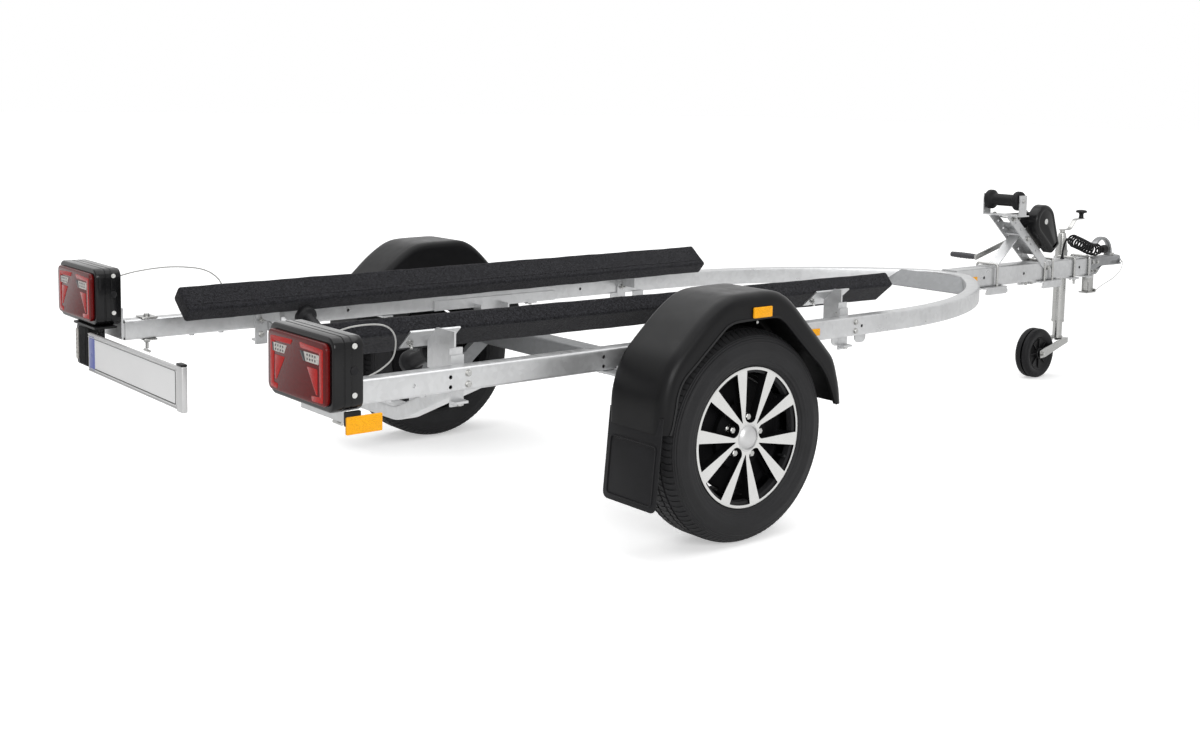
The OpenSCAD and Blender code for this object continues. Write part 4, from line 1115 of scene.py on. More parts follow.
def teardrop(grow=0.0):
    """The gear cover's outline in XZ: the hull of a large circle at the drum and two small ones at the
    pinion."""
    discs = [((DRUM[0], DRUM[2]), 0.070 + grow), ((1.621, 0.598), 0.012 + grow),
             ((1.658, 0.625), 0.012 + grow)]
    pts = np.concatenate([np.array(c) + circle(r, 160) for c, r in discs])
    t = np.linspace(0, 2 * math.pi, 160, endpoint=False)
    normals = np.stack([np.cos(t), np.sin(t)], 1)
    return pts[np.argmax(pts @ normals.T, axis=0)]


def unique_ring(outline, tolerance=1e-6):
    """A closed outline without repeated points."""
    keep = np.linalg.norm(outline - np.roll(outline, 1, 0), axis=1) > tolerance
    return outline[keep]


XZ_RIGHT = np.array([[1.0, 0, 0], [0, 0, -1.0], [0, 1.0, 0]])
XZ_LEFT = np.array([[1.0, 0, 0], [0, 0, 1.0], [0, 1.0, 0]])


def plate_xz(outline, y0, y1, edge=0.0008):
    """A plate with an XZ outline between two Y values."""
    lo, hi = min(y0, y1), max(y0, y1)
    return moved(prism(np.array(outline), hi - lo, edge), (0, lo, 0), XZ_LEFT)


def cover_shape():
    """The gear cover: its outline raised with a broad rounded rim and a dished, ringed face."""
    ring = unique_ring(teardrop(), 0.0004)
    depth = high("winch_cover")[1] - low("winch_cover")[1]
    t = np.linspace(0, math.pi / 2, 7)
    levels = [(0.0, 0.0)] + [(0.014 * (1 - math.cos(a)), depth - 0.014 + 0.014 * math.sin(a)) for a in t]
    levels += [(0.018, depth), (0.0200, depth - 0.0007), (0.025, depth - 0.0007), (0.0270, depth)]
    rings = [np.c_[inset(ring, d), np.full(len(ring), z)] for d, z in levels]
    return moved(capped(np.array(rings)), (0, high("winch_cover")[1], 0), XZ_RIGHT)


def build_winch():
    """The winch with its cover, drum, strap and crank, and the bow roller before it.

    The strap is a straight run that sags by a half sine; the grip's radius swells by a half sine and
    is ribbed.
    """
    add_piece("gear_cover", cover_shape(), "gloss_cover", "winch_cover", 40)
    boss = mm((0, 0.5), (10.5, 0.5), (12.5, -0.3), (12.5, -3), (0, -3))
    at = (DRUM[0], low("winch_cover")[1], DRUM[2])
    add_piece("gear_cover_bush", moved(lathe(boss, 32), at, XZ_RIGHT), "machined", smooth=30)
    paint("winch_frame", "plated")
    paint("winch_drum", "plated")
    wound = mm((30.2, -22.2), (34, -22.5), (34.5, -20), (35, 20), (34, 22.5), (30.2, 22.2))
    add_piece("strap_on_drum", lathe_y(wound, DRUM, 56), "webbing", smooth=40, body="winch_spool")

    lo, hi = low("winch_strap"), high("winch_strap")
    s = np.linspace(0, 1, 30)
    drop = (lo[2] - hi[2] + 0.0032) * s - 0.0020 * np.sin(s * math.pi)
    line = np.stack([hi[0] + (lo[0] - hi[0]) * s, 0 * s, hi[2] - 0.0018 + drop], 1)
    add_piece("pull_strap", sweep(round_rect(0.044, 0.0022, 0.0008, 2), line), "webbing", "winch_strap", 50)
    a, reach = np.linspace(0, math.tau, 40, endpoint=False), 0.0165
    ring = np.stack([lo[0] - 0.018 + reach * np.cos(a), 0.026 * np.sin(a),
                     lo[2] + 0.001 - 0.35 * reach * (1 - np.cos(a))], 1)
    add_piece("strap_ring", tube(ring, 0.003, 10, closed=True), "plated", smooth=60)

    add_piece("bow_roller_rubber", moved(waist(0.165, 0.040, 0.00805), ROLLER, TO_Y), "rubber",
    "bow_roller", 40,
              body="front_roller")
    slope = math.atan2(0.232, -0.284)
    along = np.array((math.cos(slope), 0, math.sin(slope)))
    foot = on_axle(2.620, 0, BAR_HIGH[2] - 0.023)
    bolts = [nut(p + (0, 0.038, 0), (0, 1, 0), 0.0095, 0.004) for p in (DRUM, PINION)]
    for s in (1, -1):
        cheek = foot + (0, s * 0.0453, 0)
        bolts += [bolt(cheek + along * d, (0, s, 0), 0.0105) for d in (-0.004, 0.205)]
        bolts.append(nut(cheek + along * 0.345, (0, s, 0), 0.009, 0.005))
        bolts.append(bolt((1.395, s * 0.060, 0.755), (0, 0, 1), 0.008))
    add_piece("winch_bolts", join(*bolts), "plated")
    y = high("bow_roller_bracket")[1] - 0.0045
    heads = [bolt(ROLLER + (0, s * y, 0), (0, s, 0), 0.0080) for s in (1, -1)]
    add_piece("roller_pin_heads", join(*heads), "plated")

    toward = on_axle(2.319, 0, BAR_HIGH[2] + 0.024) - PINION
    toward[1] = 0
    toward /= np.linalg.norm(toward)
    y_arm = 0.1045
    hub = PINION + (0, y_arm, 0)
    grip = hub + 0.274 * toward
    path = np.array([hub + toward * d for d in (-0.010, 0.060, 0.200, 0.284)])
    arm = sweep(round_rect(0.008, 0.022, 0.0025, 3), path, up=(0, 0, 1))
    eye = lathe_y(mm((0, -5.5), (14, -5.5), (14.5, -4), (14.5, 6), (13, 7.5), (0, 7.5)),
                  hub, 32)
    shaft = lathe_y(mm((0, -146.5), (8, -146.5), (8, 0), (0, 0)), hub, 24)
    tip = lathe_y(mm((0, -4.5), (11, -4.5), (11.5, 0), (11, 4.5), (0, 4.5)), grip, 28)
    end = nut(hub + (0, 0.0070, 0), (0, 1, 0), 0.0095, 0.002)
    add_piece("crank_arm", join(arm, eye, shaft, tip, end), "plated", "winch_crank", 40,
              body="winch_handle", slot="galvanised_steel")
    n, start = 40, 0.006
    long = high("winch_crank")[1] - 0.0005 - y_arm - start
    s = np.linspace(0, 1, n)
    r = 0.0105 + 0.0022 * np.sin(s * math.pi) ** 0.6 + 0.0005 * np.cos(s * n * 1.3)
    outline = [(0, 0), *zip(r, s * long), (0.006, long), (0, long)]
    add_piece("crank_grip", lathe_y(outline, grip + (0, start, 0), 32), "grip_plastic", smooth=50,
              body="winch_handle")


# ---- drawbar clamps ----

def u_bolt(x, y, low_z, top_z, r=0.005, corner=0.012):
    """A U-bolt astride the drawbar: down on one side, across the top and down on the other."""
    line = filleted([(x, -y, low_z), (x, -y, top_z), (x, y, top_z), (x, y, low_z)], corner, 8, closed=False)
    return tube(line, r, 14)


def build_clamps():
    """U-bolts astride the drawbar with their nuts, and a flat plate or a lipped one under each."""
    y, top, under = BAR_HIGH[1] + 0.0053, BAR_HIGH[2] + 0.0055, BAR_LOW[2]
    rods, plates, nuts = [], [], []
    for x, wide in ((2.250, True), (2.650, True), (2.600, False), (2.828, False), (2.942, False)):
        row = AXLE_X + x
        y_rod = y + 0.005 if wide else y
        rods.append(u_bolt(row, y_rod, under - 0.030, top + 0.0055 if wide else top))
        nuts += [nut((row, s * y_rod, under - 0.0085), (0, 0, -1), 0.0085, 0.012) for s in (1, -1)]
        if wide:
            outline = round_rect(0.150, 2 * (y + 0.019), 0.008, 4)
            plates.append(moved(prism(outline, 0.006, 0.001), (row - 0.015, 0, under - 0.0065)))
            lip = np.array(mm((-90, -26), (-80, -6), (50, -6), (60, -14), (60, -24), (48, -30),
                              (-78, -30))) + (row, under)
            plates += [plate_xz(lip, s * (y + 0.013), s * (y + 0.018)) for s in (1, -1)]
        else:
            plates.append(block((row - 0.020, -y - 0.014, under - 0.008), (row + 0.020, y + 0.014,
            under), 0.0015))
    add_piece("u_bolts", join(*rods), "plated", smooth=50)
    add_piece("clamp_plates", join(*plates), "galvanised", "drawbar_clamps", 35)
    add_piece("clamp_nuts", join(*nuts), "plated")


# ---- lights and number plate ----

FACING_REAR = np.array([[0, 0, -1.0], [-1.0, 0, 0], [0, 1.0, 0]])


def rear_panel(outline, at, thick, edge=0.0004):
    """An outline drawn as seen from behind the trailer, (right, up), raised towards the rear from a
    point."""
    return moved(prism(np.array(outline, float), thick, edge), at, FACING_REAR)


def on_lens(shares, size):
    """Places on a lens, (right, up) from its middle, from their shares across it and down it."""
    return (np.array(shares) - 0.5) * size * (1, -1)


LENS_BANDS = [[(0.055, 0.10), (0.44, 0.075), (0.415, 0.165), (0.125, 0.175), (0.115, 0.86), (0.185, 0.87),
               (0.175, 0.955), (0.055, 0.945)], [(0.565, 0.075), (0.955, 0.10), (0.955, 0.945),
                                                 (0.775, 0.955), (0.765, 0.87), (0.905, 0.855),
                                                 (0.895, 0.175), (0.585, 0.165)],
              [(0.135, 0.40), (0.310, 0.40), (0.165, 0.80), (0.140, 0.80)],
              [(0.690, 0.43), (0.865, 0.43), (0.865, 0.84), (0.845, 0.84)], ]
LENS_WINDOWS = [
    [(0.085, 0.205), (0.345, 0.205), (0.300, 0.345), (0.100, 0.345)],
    [(0.575, 0.205), (0.895, 0.205), (0.885, 0.355), (0.635, 0.355)],
]
LENS_BARS = [
    [(0.575, 0.205), (0.640, 0.205), (0.672, 0.355), (0.635, 0.355)],
    [(0.085, 0.205), (0.112, 0.205), (0.122, 0.345), (0.100, 0.345)],
]


def light_body(lo, hi):
    """The housing: rounded rectangles stacked along X, with a bezel, a groove and ribs behind it."""
    w, h, depth = hi[1] - lo[1], hi[2] - lo[2], hi[0] - lo[0]
    levels = [(0.0, 0.0125), (0.0, 0.0075), (0.0010, 0.0035), (0.0032, 0.0012), (0.0062, 0.0002),
              (0.024, 0.0), (0.0255, 0.0022), (0.0285, 0.0022), (0.030, 0.0004), (0.043, 0.0006),
              (0.0442, 0.0018), (0.0462, 0.0018), (0.0474, 0.0006), (depth - 0.006, 0.0010),
              (depth - 0.0018, 0.0028), (depth, 0.0062)]
    rings = []
    for x, d in levels:
        flat = round_rect(w - 2 * d, h - 2 * d, max(0.026 - d, 0.004), 7) + ((lo[1] + hi[1]) / 2,
                                                                             (lo[2] + hi[2]) / 2)
        rings.append(np.c_[np.full(len(flat), lo[0] + x), flat])
    return capped(np.array(rings))


def spring_wire(side, box_hi):
    """A grey wire from the housing's back over the rail to the bracket, thin and springy."""
    z, y = box_hi[2] - 0.020, side * (HALF_W - 0.024)
    if side < 0:
        route = [(0, -0.700, z), (0.075, -0.688, z + 0.012), (0.165, -0.665, z + 0.004),
                 (0.225, y - 0.045, z - 0.034), (0.236, y - 0.020, z - 0.088),
                 (0.212, y - 0.006, RAIL_TOP + 0.018), (0.180, y, RAIL_TOP + 0.0022)]
    else:
        route = [(0, 0.585, z - 0.012), (0.08, 0.582, z + 0.004), (0.18, 0.578, z + 0.010),
                 (0.27, y - 0.014, z - 0.002), (0.315, y - 0.030, z - 0.036), (0.322, y - 0.038, z - 0.08),
                 (0.322, y - 0.038, RAIL_TOP - 0.006)]
    return tube(smooth_line(np.array(route) + (box_hi[0] - 0.012, 0, 0), 60), 0.0021, 8)


def build_lights():
    """Both rear lights: housing, dark lens with its bands, windows and segments, screws, plugs and wire."""
    ring = mm((0, -1), (6.2, -1), (6.2, 0.6), (5, 1), (4, -0.4), (2.2, -0.4), (2.2, 0.8), (0, 0.8))
    plug = mm((0, -1), (9.8, -1), (9.8, 0.8), (8.8, 1.4), (6, 0.6), (0, 0.6))
    for name, side in SIDES.items():
        body = f"light_{name}"
        box_lo, box_hi = low(f"light_box_{name}"), high(f"light_box_{name}")
        add_piece(f"light_housing_{name}", light_body(box_lo, box_hi), "gloss_black", f"light_box_{name}",
                  25, body=body)
        lo, hi = low(f"light_lens_{name}"), high(f"light_lens_{name}")
        size, t = (hi - lo)[1:], hi[0] - lo[0]
        mid = (lo + hi) / 2
        mid[0] = hi[0] + 0.001
        glass = rear_panel(round_rect(*size, 0.017, 7), mid, t, 0.004)
        add_piece(f"light_glass_{name}", glass, "lens_dark", f"light_lens_{name}", 30, body=body)
        at = mid - (t - 0.0006, 0, 0)
        bands = [rear_panel(filleted(on_lens(o, size), 0.004, 3), at, 0.0012, 0.0003) for o in LENS_BANDS]
        windows = [rear_panel(filleted(on_lens(o, size), 0.002, 2), at, 0.0013, 0.0003)
                   for o in LENS_WINDOWS]
        segments = [rear_panel(on_lens(o, size), at, 0.0016, 0.0002) for o in LENS_BARS]
        for k, row, share in itertools.product(range(4), range(2), (0.150, 0.700)):
            place = on_lens((share + 0.043 * k, 0.245 + 0.065 * row), size)
            segments.append(rear_panel(circle(0.0030, 10) + place, at, 0.0016, 0.0003))
        screws, plugs, x = [], [], box_lo[0] + 0.052
        for y, out in ((box_hi[1], 1), (box_lo[1], -1)):
            turn = axes_of((0, out, 0))
            screws += [moved(lathe(ring, 22), (x, y, z), turn)
                       for z in (box_hi[2] - 0.0215, box_lo[2] + 0.038)]
            plugs.append(moved(lathe(plug, 28), (x, y, box_lo[2] + 0.092), turn))
        for part, shapes, finish in (("red_bands", bands, "lens_red"), ("windows", windows, "lamp_clear"),
                                     ("segments", segments, "dark_chrome"), ("screws", screws,
                                     "white_plastic"),
                                     ("side_plug", plugs, "flap_rubber")):
            add_piece(f"light_{part}_{name}", join(*shapes), finish, smooth=30, body=body)
        paint(f"light_arm_{name}", "galvanised")
        add_piece(f"light_spring_wire_{name}", spring_wire(side, box_hi), "wire_grey", smooth=60, body=body)


def build_plate():
    """The folding number plate on its holder, pivot and end post, and the lamp beside it."""
    lo, hi = low("number_plate"), high("number_plate")
    px, hinge_y, _ = joint("plate_fold")["pos_m"]
    y0, y1 = lo[1], hinge_y - 0.006
    w, h = y1 - y0, hi[2] - lo[2]
    mid = np.array((0, (y0 + y1) / 2, (lo[2] + hi[2]) / 2))
    x_front, x_back = lo[0], lo[0] + 0.010
    holder = [rear_panel(round_rect(w, h, 0.004, 3), mid + (x_back, 0, 0), 0.0075, 0.001)]
    for s in (1, -1):
        for dz, thick in ((0.0030, 0.0032), (0.0105, 0.0022)):
            z = mid[2] + s * (h / 2 - dz)
            holder.append(block((x_front + 0.0003, y0 + 0.001, z - thick / 2),
                                (x_back - 0.003, y1 - 0.001, z + thick / 2), 0.0008))
    add_piece("plate_holder", join(*holder), "satin_alloy", "number_plate", 30, body="plate",
              slot="zinc_plate")
    pivot = lathe([(0, 0.004), (0.0108, 0.004), (0.011, 0.006), (0.011, h - 0.006), (0.0108, h - 0.004),
                   (0, h - 0.004)], 28)
    link = block((x_front + 0.006, y1 - 0.010, lo[2] + 0.008), (px, y1 + 0.012, hi[2] - 0.008), 0.002)
    hinge_at = (px, hinge_y, lo[2])
    hinge = add_piece("plate_pivot", join(moved(pivot, hinge_at), link), "plastic", smooth=30, body="plate")
    bore = lathe([(0, -0.01), (0.00605, -0.01), (0.00605, h + 0.01), (0, h + 0.01)], 24)
    cut(hinge, moved(bore, hinge_at), True)

    face_at = mid + (x_front + 0.0040, 0.015, 0)
    fw, fh = w - 0.044, h - 0.014
    blank = rear_panel(round_rect(fw, fh, 0.008, 5), face_at, 0.0020, 0.0004)
    line = round_rect(fw - 0.010, fh - 0.010, 0.006, 6)
    border = sweep(round_rect(0.0034, 0.0008, 0.0003, 2), np.c_[line, np.zeros(len(line))], (0, 0, 1),
                   closed=True)
    band = round_rect(0.042, fh - 0.0015, 0.004, 3) + (0.022 - fw / 2, 0)
    add_piece("plate_blank", blank, "plate_white", smooth=30, body="plate")
    add_piece("plate_border", moved(border, face_at - (0.0021, 0, 0), FACING_REAR), "plastic", smooth=30,
              body="plate", slot="gloss_black")
    add_piece("plate_band", rear_panel(band, face_at - (0.0019, 0, 0), 0.0007, 0.0002), "blue", smooth=30,
              body="plate")
    post = block((x_front + 0.0002, y0 - 0.0005, lo[2] - 0.004),
                 (x_back + 0.006, y0 + 0.034, hi[2] + 0.004), 0.003, 3)
    add_piece("plate_end_post", post, "satin_alloy", body="plate", slot="zinc_plate")
    cap = block((x_front + 0.0001, y0 - 0.0008, hi[2] + 0.003),
                (x_back + 0.0065, y0 + 0.0345, hi[2] + 0.010), 0.0025, 3)
    add_piece("plate_post_cap", cap, "plastic", body="plate")

    lo, hi = low("plate_lamp"), high("plate_lamp")
    w, h = hi[1] - lo[1], hi[2] - lo[2]
    pitch = 0.0068
    ribs = [block(lo + (0.004, 0.002, 0), hi - (0.002, 0.002, 0), 0.009, 4)]
    for y in lo[1] + 0.010 + pitch * np.arange(int((w - 0.038) / pitch)):
        ribs.append(block((lo[0] + 0.0015, y, lo[2] + 0.006), (hi[0] - 0.001, y + 0.0030, hi[2] - 0.006),
                          0.0014))
    add_piece("lamp_housing", join(*ribs), "plastic", "plate_lamp", body="light_left")
    at = np.array((lo[0], hi[1] - 0.0125, (lo[2] + hi[2]) / 2))
    strip = rear_panel(round_rect(0.017, h - 0.030, 0.0075, 5), at + (0.0065, 0, 0), 0.0055, 0.0015)
    add_piece("lamp_lens", strip, "lamp_clear", body="light_left")
    dots = [rear_panel(circle(0.0026, 12) + (0, (k - 2) * 0.013), at + (0.0015, 0, 0), 0.0008, 0.0002)
            for k in range(5)]
    add_piece("lamp_segments", join(*dots), "dark_chrome", body="light_left")
    paint("plate_hinge", "plastic")


# ---- jockey wheel and its stand ----

def build_jockey():
    """The jockey wheel with its tyre and ribbed hub, and the stand's sleeve, crank and bolts.

    Both profiles are drawn from the wheel's middle outwards and mirrored; the sleeve tapers to its bearing.
    """
    centre = np.array(joint("jockey_roller_spin")["pos_m"])
    w, r, bend = 0.032, 0.110, 0.016
    t = np.linspace(0, math.pi / 2, 8)[1:]
    shoulder = [(r - bend + bend * math.cos(a), w - bend + bend * math.sin(a)) for a in t]
    half = [(r - 0.0006, 0.0), (r, 0.008), (r, w - 0.018), *shoulder, (r * 0.80, w - 0.0005),
            (r * 0.70, w - 0.002), (r * 0.655, w - 0.005), (r * 0.60, w - 0.013)]
    tyre = half + [(a, -b) for a, b in half[:0:-1]]
    add_piece("jockey_tyre", lathe_y(tyre, centre, 96), "rubber", "jockey_wheel", 30, body="jockey_roller")
    disc = [(0.0081, w - 0.0005), (0.021, w - 0.0005), (0.0235, w - 0.003), (0.026, w - 0.014),
            (r * 0.54, w - 0.012), (r * 0.605, w - 0.008), (r * 0.62, w - 0.006), (r * 0.655, w - 0.0035),
            (r * 0.66, w - 0.009), (r * 0.655, 0)]
    hub = disc + [(a, -b) for a, b in disc[-2::-1]]
    add_piece("jockey_hub", lathe_y(hub, centre, 72), "plastic", smooth=30, body="jockey_roller")
    ribs = []
    for angle, s in itertools.product(np.arange(8) * math.tau / 8, (1, -1)):
        out = np.array((math.cos(angle), 0, math.sin(angle)))
        at = centre + (0, s * (w - 0.011), 0)
        ribs.append(bar(at + out * 0.022, at + out * 0.066, 0.008, 0.004, 0.001, up=(-out[2], 0, out[0])))
    add_piece("jockey_ribs", join(*ribs), "plastic", body="jockey_roller")
    for node in ("stand_leg", "stand_fork"):
        paint(node, "plated")
    ends = [nut(centre + (0, s * 0.041, 0), (0, s, 0), 0.0095, 0.001) for s in (1, -1)]
    add_piece("fork_nuts", join(*ends), "plated", body="jockey_fork")

    lo, hi = low("stand_tube"), high("stand_tube")
    foot, top, wall, r = lo[2], hi[2], 0.0025, (hi[0] - lo[0]) / 2
    axis = (lo + hi) / 2 * (1, 1, 0)
    taper = max(top - 0.085, high("stand_leg")[2] + joint("jockey_leg_slide")["range_m"][1] + 0.006)
    sleeve = [(r - wall, foot), (r, foot), (r, taper), (r * 0.62, top - 0.002), (r * 0.56, top), (0, top),
              (0, taper), (r - wall, taper - 0.001), (r - wall, foot)]
    add_piece("stand_sleeve", moved(lathe(sleeve, 56), axis), "plated", "stand_tube", 30)
    collars = [lathe([(0.0268, a), (0.0286, a + 0.0008), (0.0286, a + 0.0052), (0.0268, a + 0.006)], 48)
               for a in (0.240, 0.556)]
    add_piece("stand_collars", moved(join(*collars), axis), "plated", smooth=40)
    boss = mm((0, 0), (10, 0), (11.5, 2), (11.5, 12), (10, 14), (0, 14))
    arm = [axis + (x, 0, top + z) for x, z in ((-0.012, 0.0145), (0.055, 0.0145), (0.095, 0.0585),
                                               (0.160, 0.0585))]
    arm = sweep(round_rect(0.022, 0.005, 0.0018, 3), filleted(arm, 0.014, 6, closed=False))
    crank = join(moved(lathe(boss, 32), axis + (0, 0, top)), arm)
    add_piece("stand_handle", crank, "plated", "stand_crank", 40)
    knob = mm((0, 0), (10.5, 0), (11.8, 3), (10.5, 8), (9.8, 18), (12.5, 24), (22.5, 26.2), (25.2, 29),
              (24.8, 33.5), (20.5, 37.2), (11, 39.2), (0, 39.5))
    add_piece("stand_knob", moved(lathe(knob, 40), axis + (0.146, 0, top + 0.0602)), "gloss_cover",
              smooth=50)
    bolts = [bolt(axis + (-0.040, -0.0245, z), (0, 1, 0), 0.0085) for z in (0.482, 0.520)]
    add_piece("stand_clamp_bolts", join(*bolts), "plated")


# ---- coupling ----

NOSE = high("coupling_head")[0]


def nosed(ball_x, reach, half):
    """An outline round the nose: a half circle about the ball, then half the rest of it and that
    half's mirror."""
    t = np.linspace(-math.pi / 2, math.pi / 2, 17)
    nose = np.stack([ball_x + reach * np.cos(t), reach * np.sin(t)], 1)
    half = np.array(half)
    return np.concatenate([nose, half, half[::-1] * (1, -1)])


def build_coupling():
    """The coupling head with its socket and bolts, the curved lever over it and the bracket for the
    plug."""
    rear, under, z0 = low("coupling_head")[0], BAR_LOW[2], BAR_LOW[2] + 0.034
    r, lip, e = 0.031, 0.036, 0.010
    top, ball_x = z0 + 0.040, NOSE - lip
    plan = nosed(ball_x, r, [(ball_x - 0.055, r), (ball_x - 0.095, r), (rear + 0.012, 0.0285),
                             (rear + 0.004, 0.0285)])
    plan = filleted(plan, 0.003, 2)
    levels = [(0.0, 0.0)] + [(e * (1 - math.cos(a)), top - z0 - e + e * math.sin(a))
                             for a in np.linspace(0, math.pi / 2, 6)]
    body = capped(np.array([np.c_[inset(plan, d) if d else plan, np.full(len(plan), z0 + z)] for d,
                            z in levels]))
    flange = nosed(ball_x, lip, [(ball_x - 0.060, lip), (ball_x - 0.080, r)])
    skirt = moved(prism(filleted(flange, 0.004, 3), 0.0065, 0.002), (0, 0, z0 - 0.0005))
    casting = [(rear + 0.001, under - 0.003), (rear + 0.072, under - 0.003), (rear + 0.118, z0 + 0.004),
               (rear + 0.001, z0 + 0.004)]
    lower = plate_xz(filleted(casting, 0.006, 4), -0.028, 0.028, 0.005)
    end = moved(prism(round_rect(0.080, 0.080, 0.009, 5), 0.006, 0.0012), (rear, 0, middle("drawbar")[2]),
                axes_of((1, 0, 0)))
    rib = plate_xz(filleted([(rear + 0.005, top - 0.004), (rear + 0.005, BAR_HIGH[2] - 0.004),
                             (rear + 0.030, BAR_HIGH[2] - 0.006), (rear + 0.075, top - 0.004)], 0.004, 3),
                   -0.012, 0.012, 0.003)
    eye = block((ball_x - 0.007, -lip, z0 + 0.014), (ball_x + 0.007, -0.026, z0 + 0.026), 0.003)
    head = add_piece("coupling_casting", join(body, skirt, end), "cast_zinc", "coupling_head")
    socket = mm((0, -20), (25.2, -20), (25.2, 0), (24.5, 20), (18, 30.5), (0, 30.5))
    cut(head, moved(lathe(socket, 40), (ball_x, 0, z0)), True)
    add_piece("coupling_ribs", join(lower, rib, eye), "cast_zinc")
    bolts = []
    for x, s in itertools.product((rear + 0.024, rear + 0.060), (1, -1)):
        bolts.append(nut((x, s * 0.028, under + 0.014), (0, s, 0), 0.0085, 0.003))
        bolts.append(bolt((x + 0.01, s * 0.0295, z0 + 0.020), (0, s, 0), 0.0090))
    add_piece("coupling_bolts", join(*bolts), "plated")

    centre, x = np.array((2.130, 0, z0 + 0.048)), 2.130
    section = round_rect(1.0, 1.0, 0.3, 4)
    rings = []
    for a in np.radians(np.linspace(-4, 149, 40)):
        out = np.array((math.cos(a), 0, math.sin(a)))
        width = 0.024 + 0.006 * np.clip((a - 1.2) / 1.2, 0, 1)
        rings.append(centre + 0.073 * out + section[:, :1] * (0, width, 0) + section[:, 1:] * 0.013 * out)
    add_piece("coupling_lever", capped(np.array(rings)), "cast_zinc", "coupling_handle", 40)
    outline = filleted([(x + 0.055, top - 0.006), (x + 0.055, top + 0.012), (x + 0.088, top + 0.012),
                        (x + 0.092, top - 0.006)], 0.006, 4)
    pivots = [nut((x + 0.071, s * 0.0125, top + 0.004), (0, s, 0), 0.007, 0.002) for s in (1, -1)]
    pivots += [plate_xz(outline, s * 0.0135, s * 0.0175, 0.001) for s in (1, -1)]
    add_piece("lever_pivot", join(*pivots), "plated")
    lo, hi = low("plug_holder"), high("plug_holder")
    folds = [(lo, (hi[0], hi[1], lo[2] + 0.006)),
             ((lo[0] + 0.014, -0.016, lo[2] + 0.004), (lo[0] + 0.0185, 0.016, hi[2])),
             ((lo[0] + 0.014, -0.016, lo[2] + 0.004), (lo[0] + 0.056, -0.012, hi[2])),
             ((hi[0] - 0.004, lo[1], lo[2]), (hi[0], hi[1], lo[2] + 0.017))]
    plates = [block(a, b, edge) for (a, b), edge in zip(folds, (0.002, 0.0015, 0.0015, 0.0015))]
    add_piece("plug_bracket", join(*plates), "plated", "plug_holder")


# ---- cords ----

def from_nose(route):
    """A route whose X is measured from the coupling's nose and whose Z is measured from the drawbar's
    underside."""
    return np.array(route, float) / 1000 + (NOSE, 0, BAR_LOW[2])


WIRE_ROUTE = [(-36, -37.6, 54), (-36, -46, 46), (-40, -50, 32), (-54, -52, 12), (-78, -51, -8),
              (-108, -47, -26), (-140, -41, -40), (-170, -33, -54), (-196, -26, -70), (-208, -23.6, -78)]
TAIL_ROUTE = [(-466, -10, 80.4), (-466, -10, 92), (-468, -12, 106), (-472, -16, 122), (-472, -20, 140),
              (-470, -24, 156), (-464, -27.4, 168.6), (-452.6, -29.9, 166.1)]
COIL_ROUTE = [(-452, -30, 166), (-434, -34, 162), (-412, -36, 155), (-388, -36, 148), (-362, -36, 140),
              (-336, -37, 131), (-308, -39, 121), (-280, -42, 114), (-254, -44, 112), (-228, -44, 112)]


def coiled_line(route, radius, turns, count):
    """A helix round a route: p + r(s)(a cos t + b sin t), its radius rising and falling over the first
    and last turn."""
    core = evenly(smooth_line(route, count), count)
    along = tangents(core)
    a = across_path(along)
    b = np.cross(along, a)
    s = np.linspace(0, 1, count)
    ramp = np.clip(np.minimum(s, 1 - s) * turns / 1.2, 0, 1)
    r = radius * ramp * ramp * (3 - 2 * ramp)
    ang = s * turns * math.tau
    return core + r[:, None] * (np.cos(ang)[:, None] * a + np.sin(ang)[:, None] * b)


def build_cords(sizes):
    """The breakaway wire with its ferrule, and the curly lead from its grommet to its plug."""
    wire = smooth_line(from_nose(WIRE_ROUTE), 70)
    cable = add_piece("breakaway_wire", tube(wire, sizes.wire_thick / 2, 8), "plated", "safety_wire", 60)
    add_piece("wire_ferrule", tube(wire[[4, 8]], 0.0032, 12), "plated", smooth=50)

    tail = smooth_line(from_nose(TAIL_ROUTE), 40)
    coil = coiled_line(from_nose(COIL_ROUTE), sizes.lead_coil, sizes.lead_turns, 430)
    lead_path = np.concatenate([tail[:-1], coil[2:]])
    lead = add_piece("curly_lead", tube(lead_path, sizes.lead_thick / 2, 10), "cable",
                     ["lead_tail", "lead_coil"], 60)
    lo, hi = low("lead_plug"), high("lead_plug")
    at, r, n = (lo + hi) / 2, (hi[1] - lo[1]) / 2, hi[0] - lo[0]
    at[0] = lo[0]
    body = [(0, 0), (0.0048, 0), (0.0062, 0.004), (0.0066, 0.014), (0.0130, 0.0155), (0.0165, 0.018),
            (0.0170, 0.024), (r * 0.93, 0.0255), (r * 0.93, 0.038), (r * 0.985, 0.0395),
            (r * 0.985, 0.0425), (r * 0.93, 0.044), (r * 0.93, n - 0.004), (r * 0.90, n - 0.001),
            (r * 0.80, n), (r * 0.78, n - 0.006), (0, n - 0.006)]
    plug = add_piece("lead_plug_body", moved(lathe(body, 40), at, axes_of((1, 0, 0))), "plastic",
                     "lead_plug")
    grommet = lathe(mm((3.7, 0), (9.2, 0), (9.2, 2.5), (6.4, 4), (5.2, 18), (3.8, 20)), 24)
    add_piece("lead_grommet", moved(grommet, tail[0] - (0, 0, 0.0003)), "rubber", smooth=50)


# ---- small fittings on the frame ----

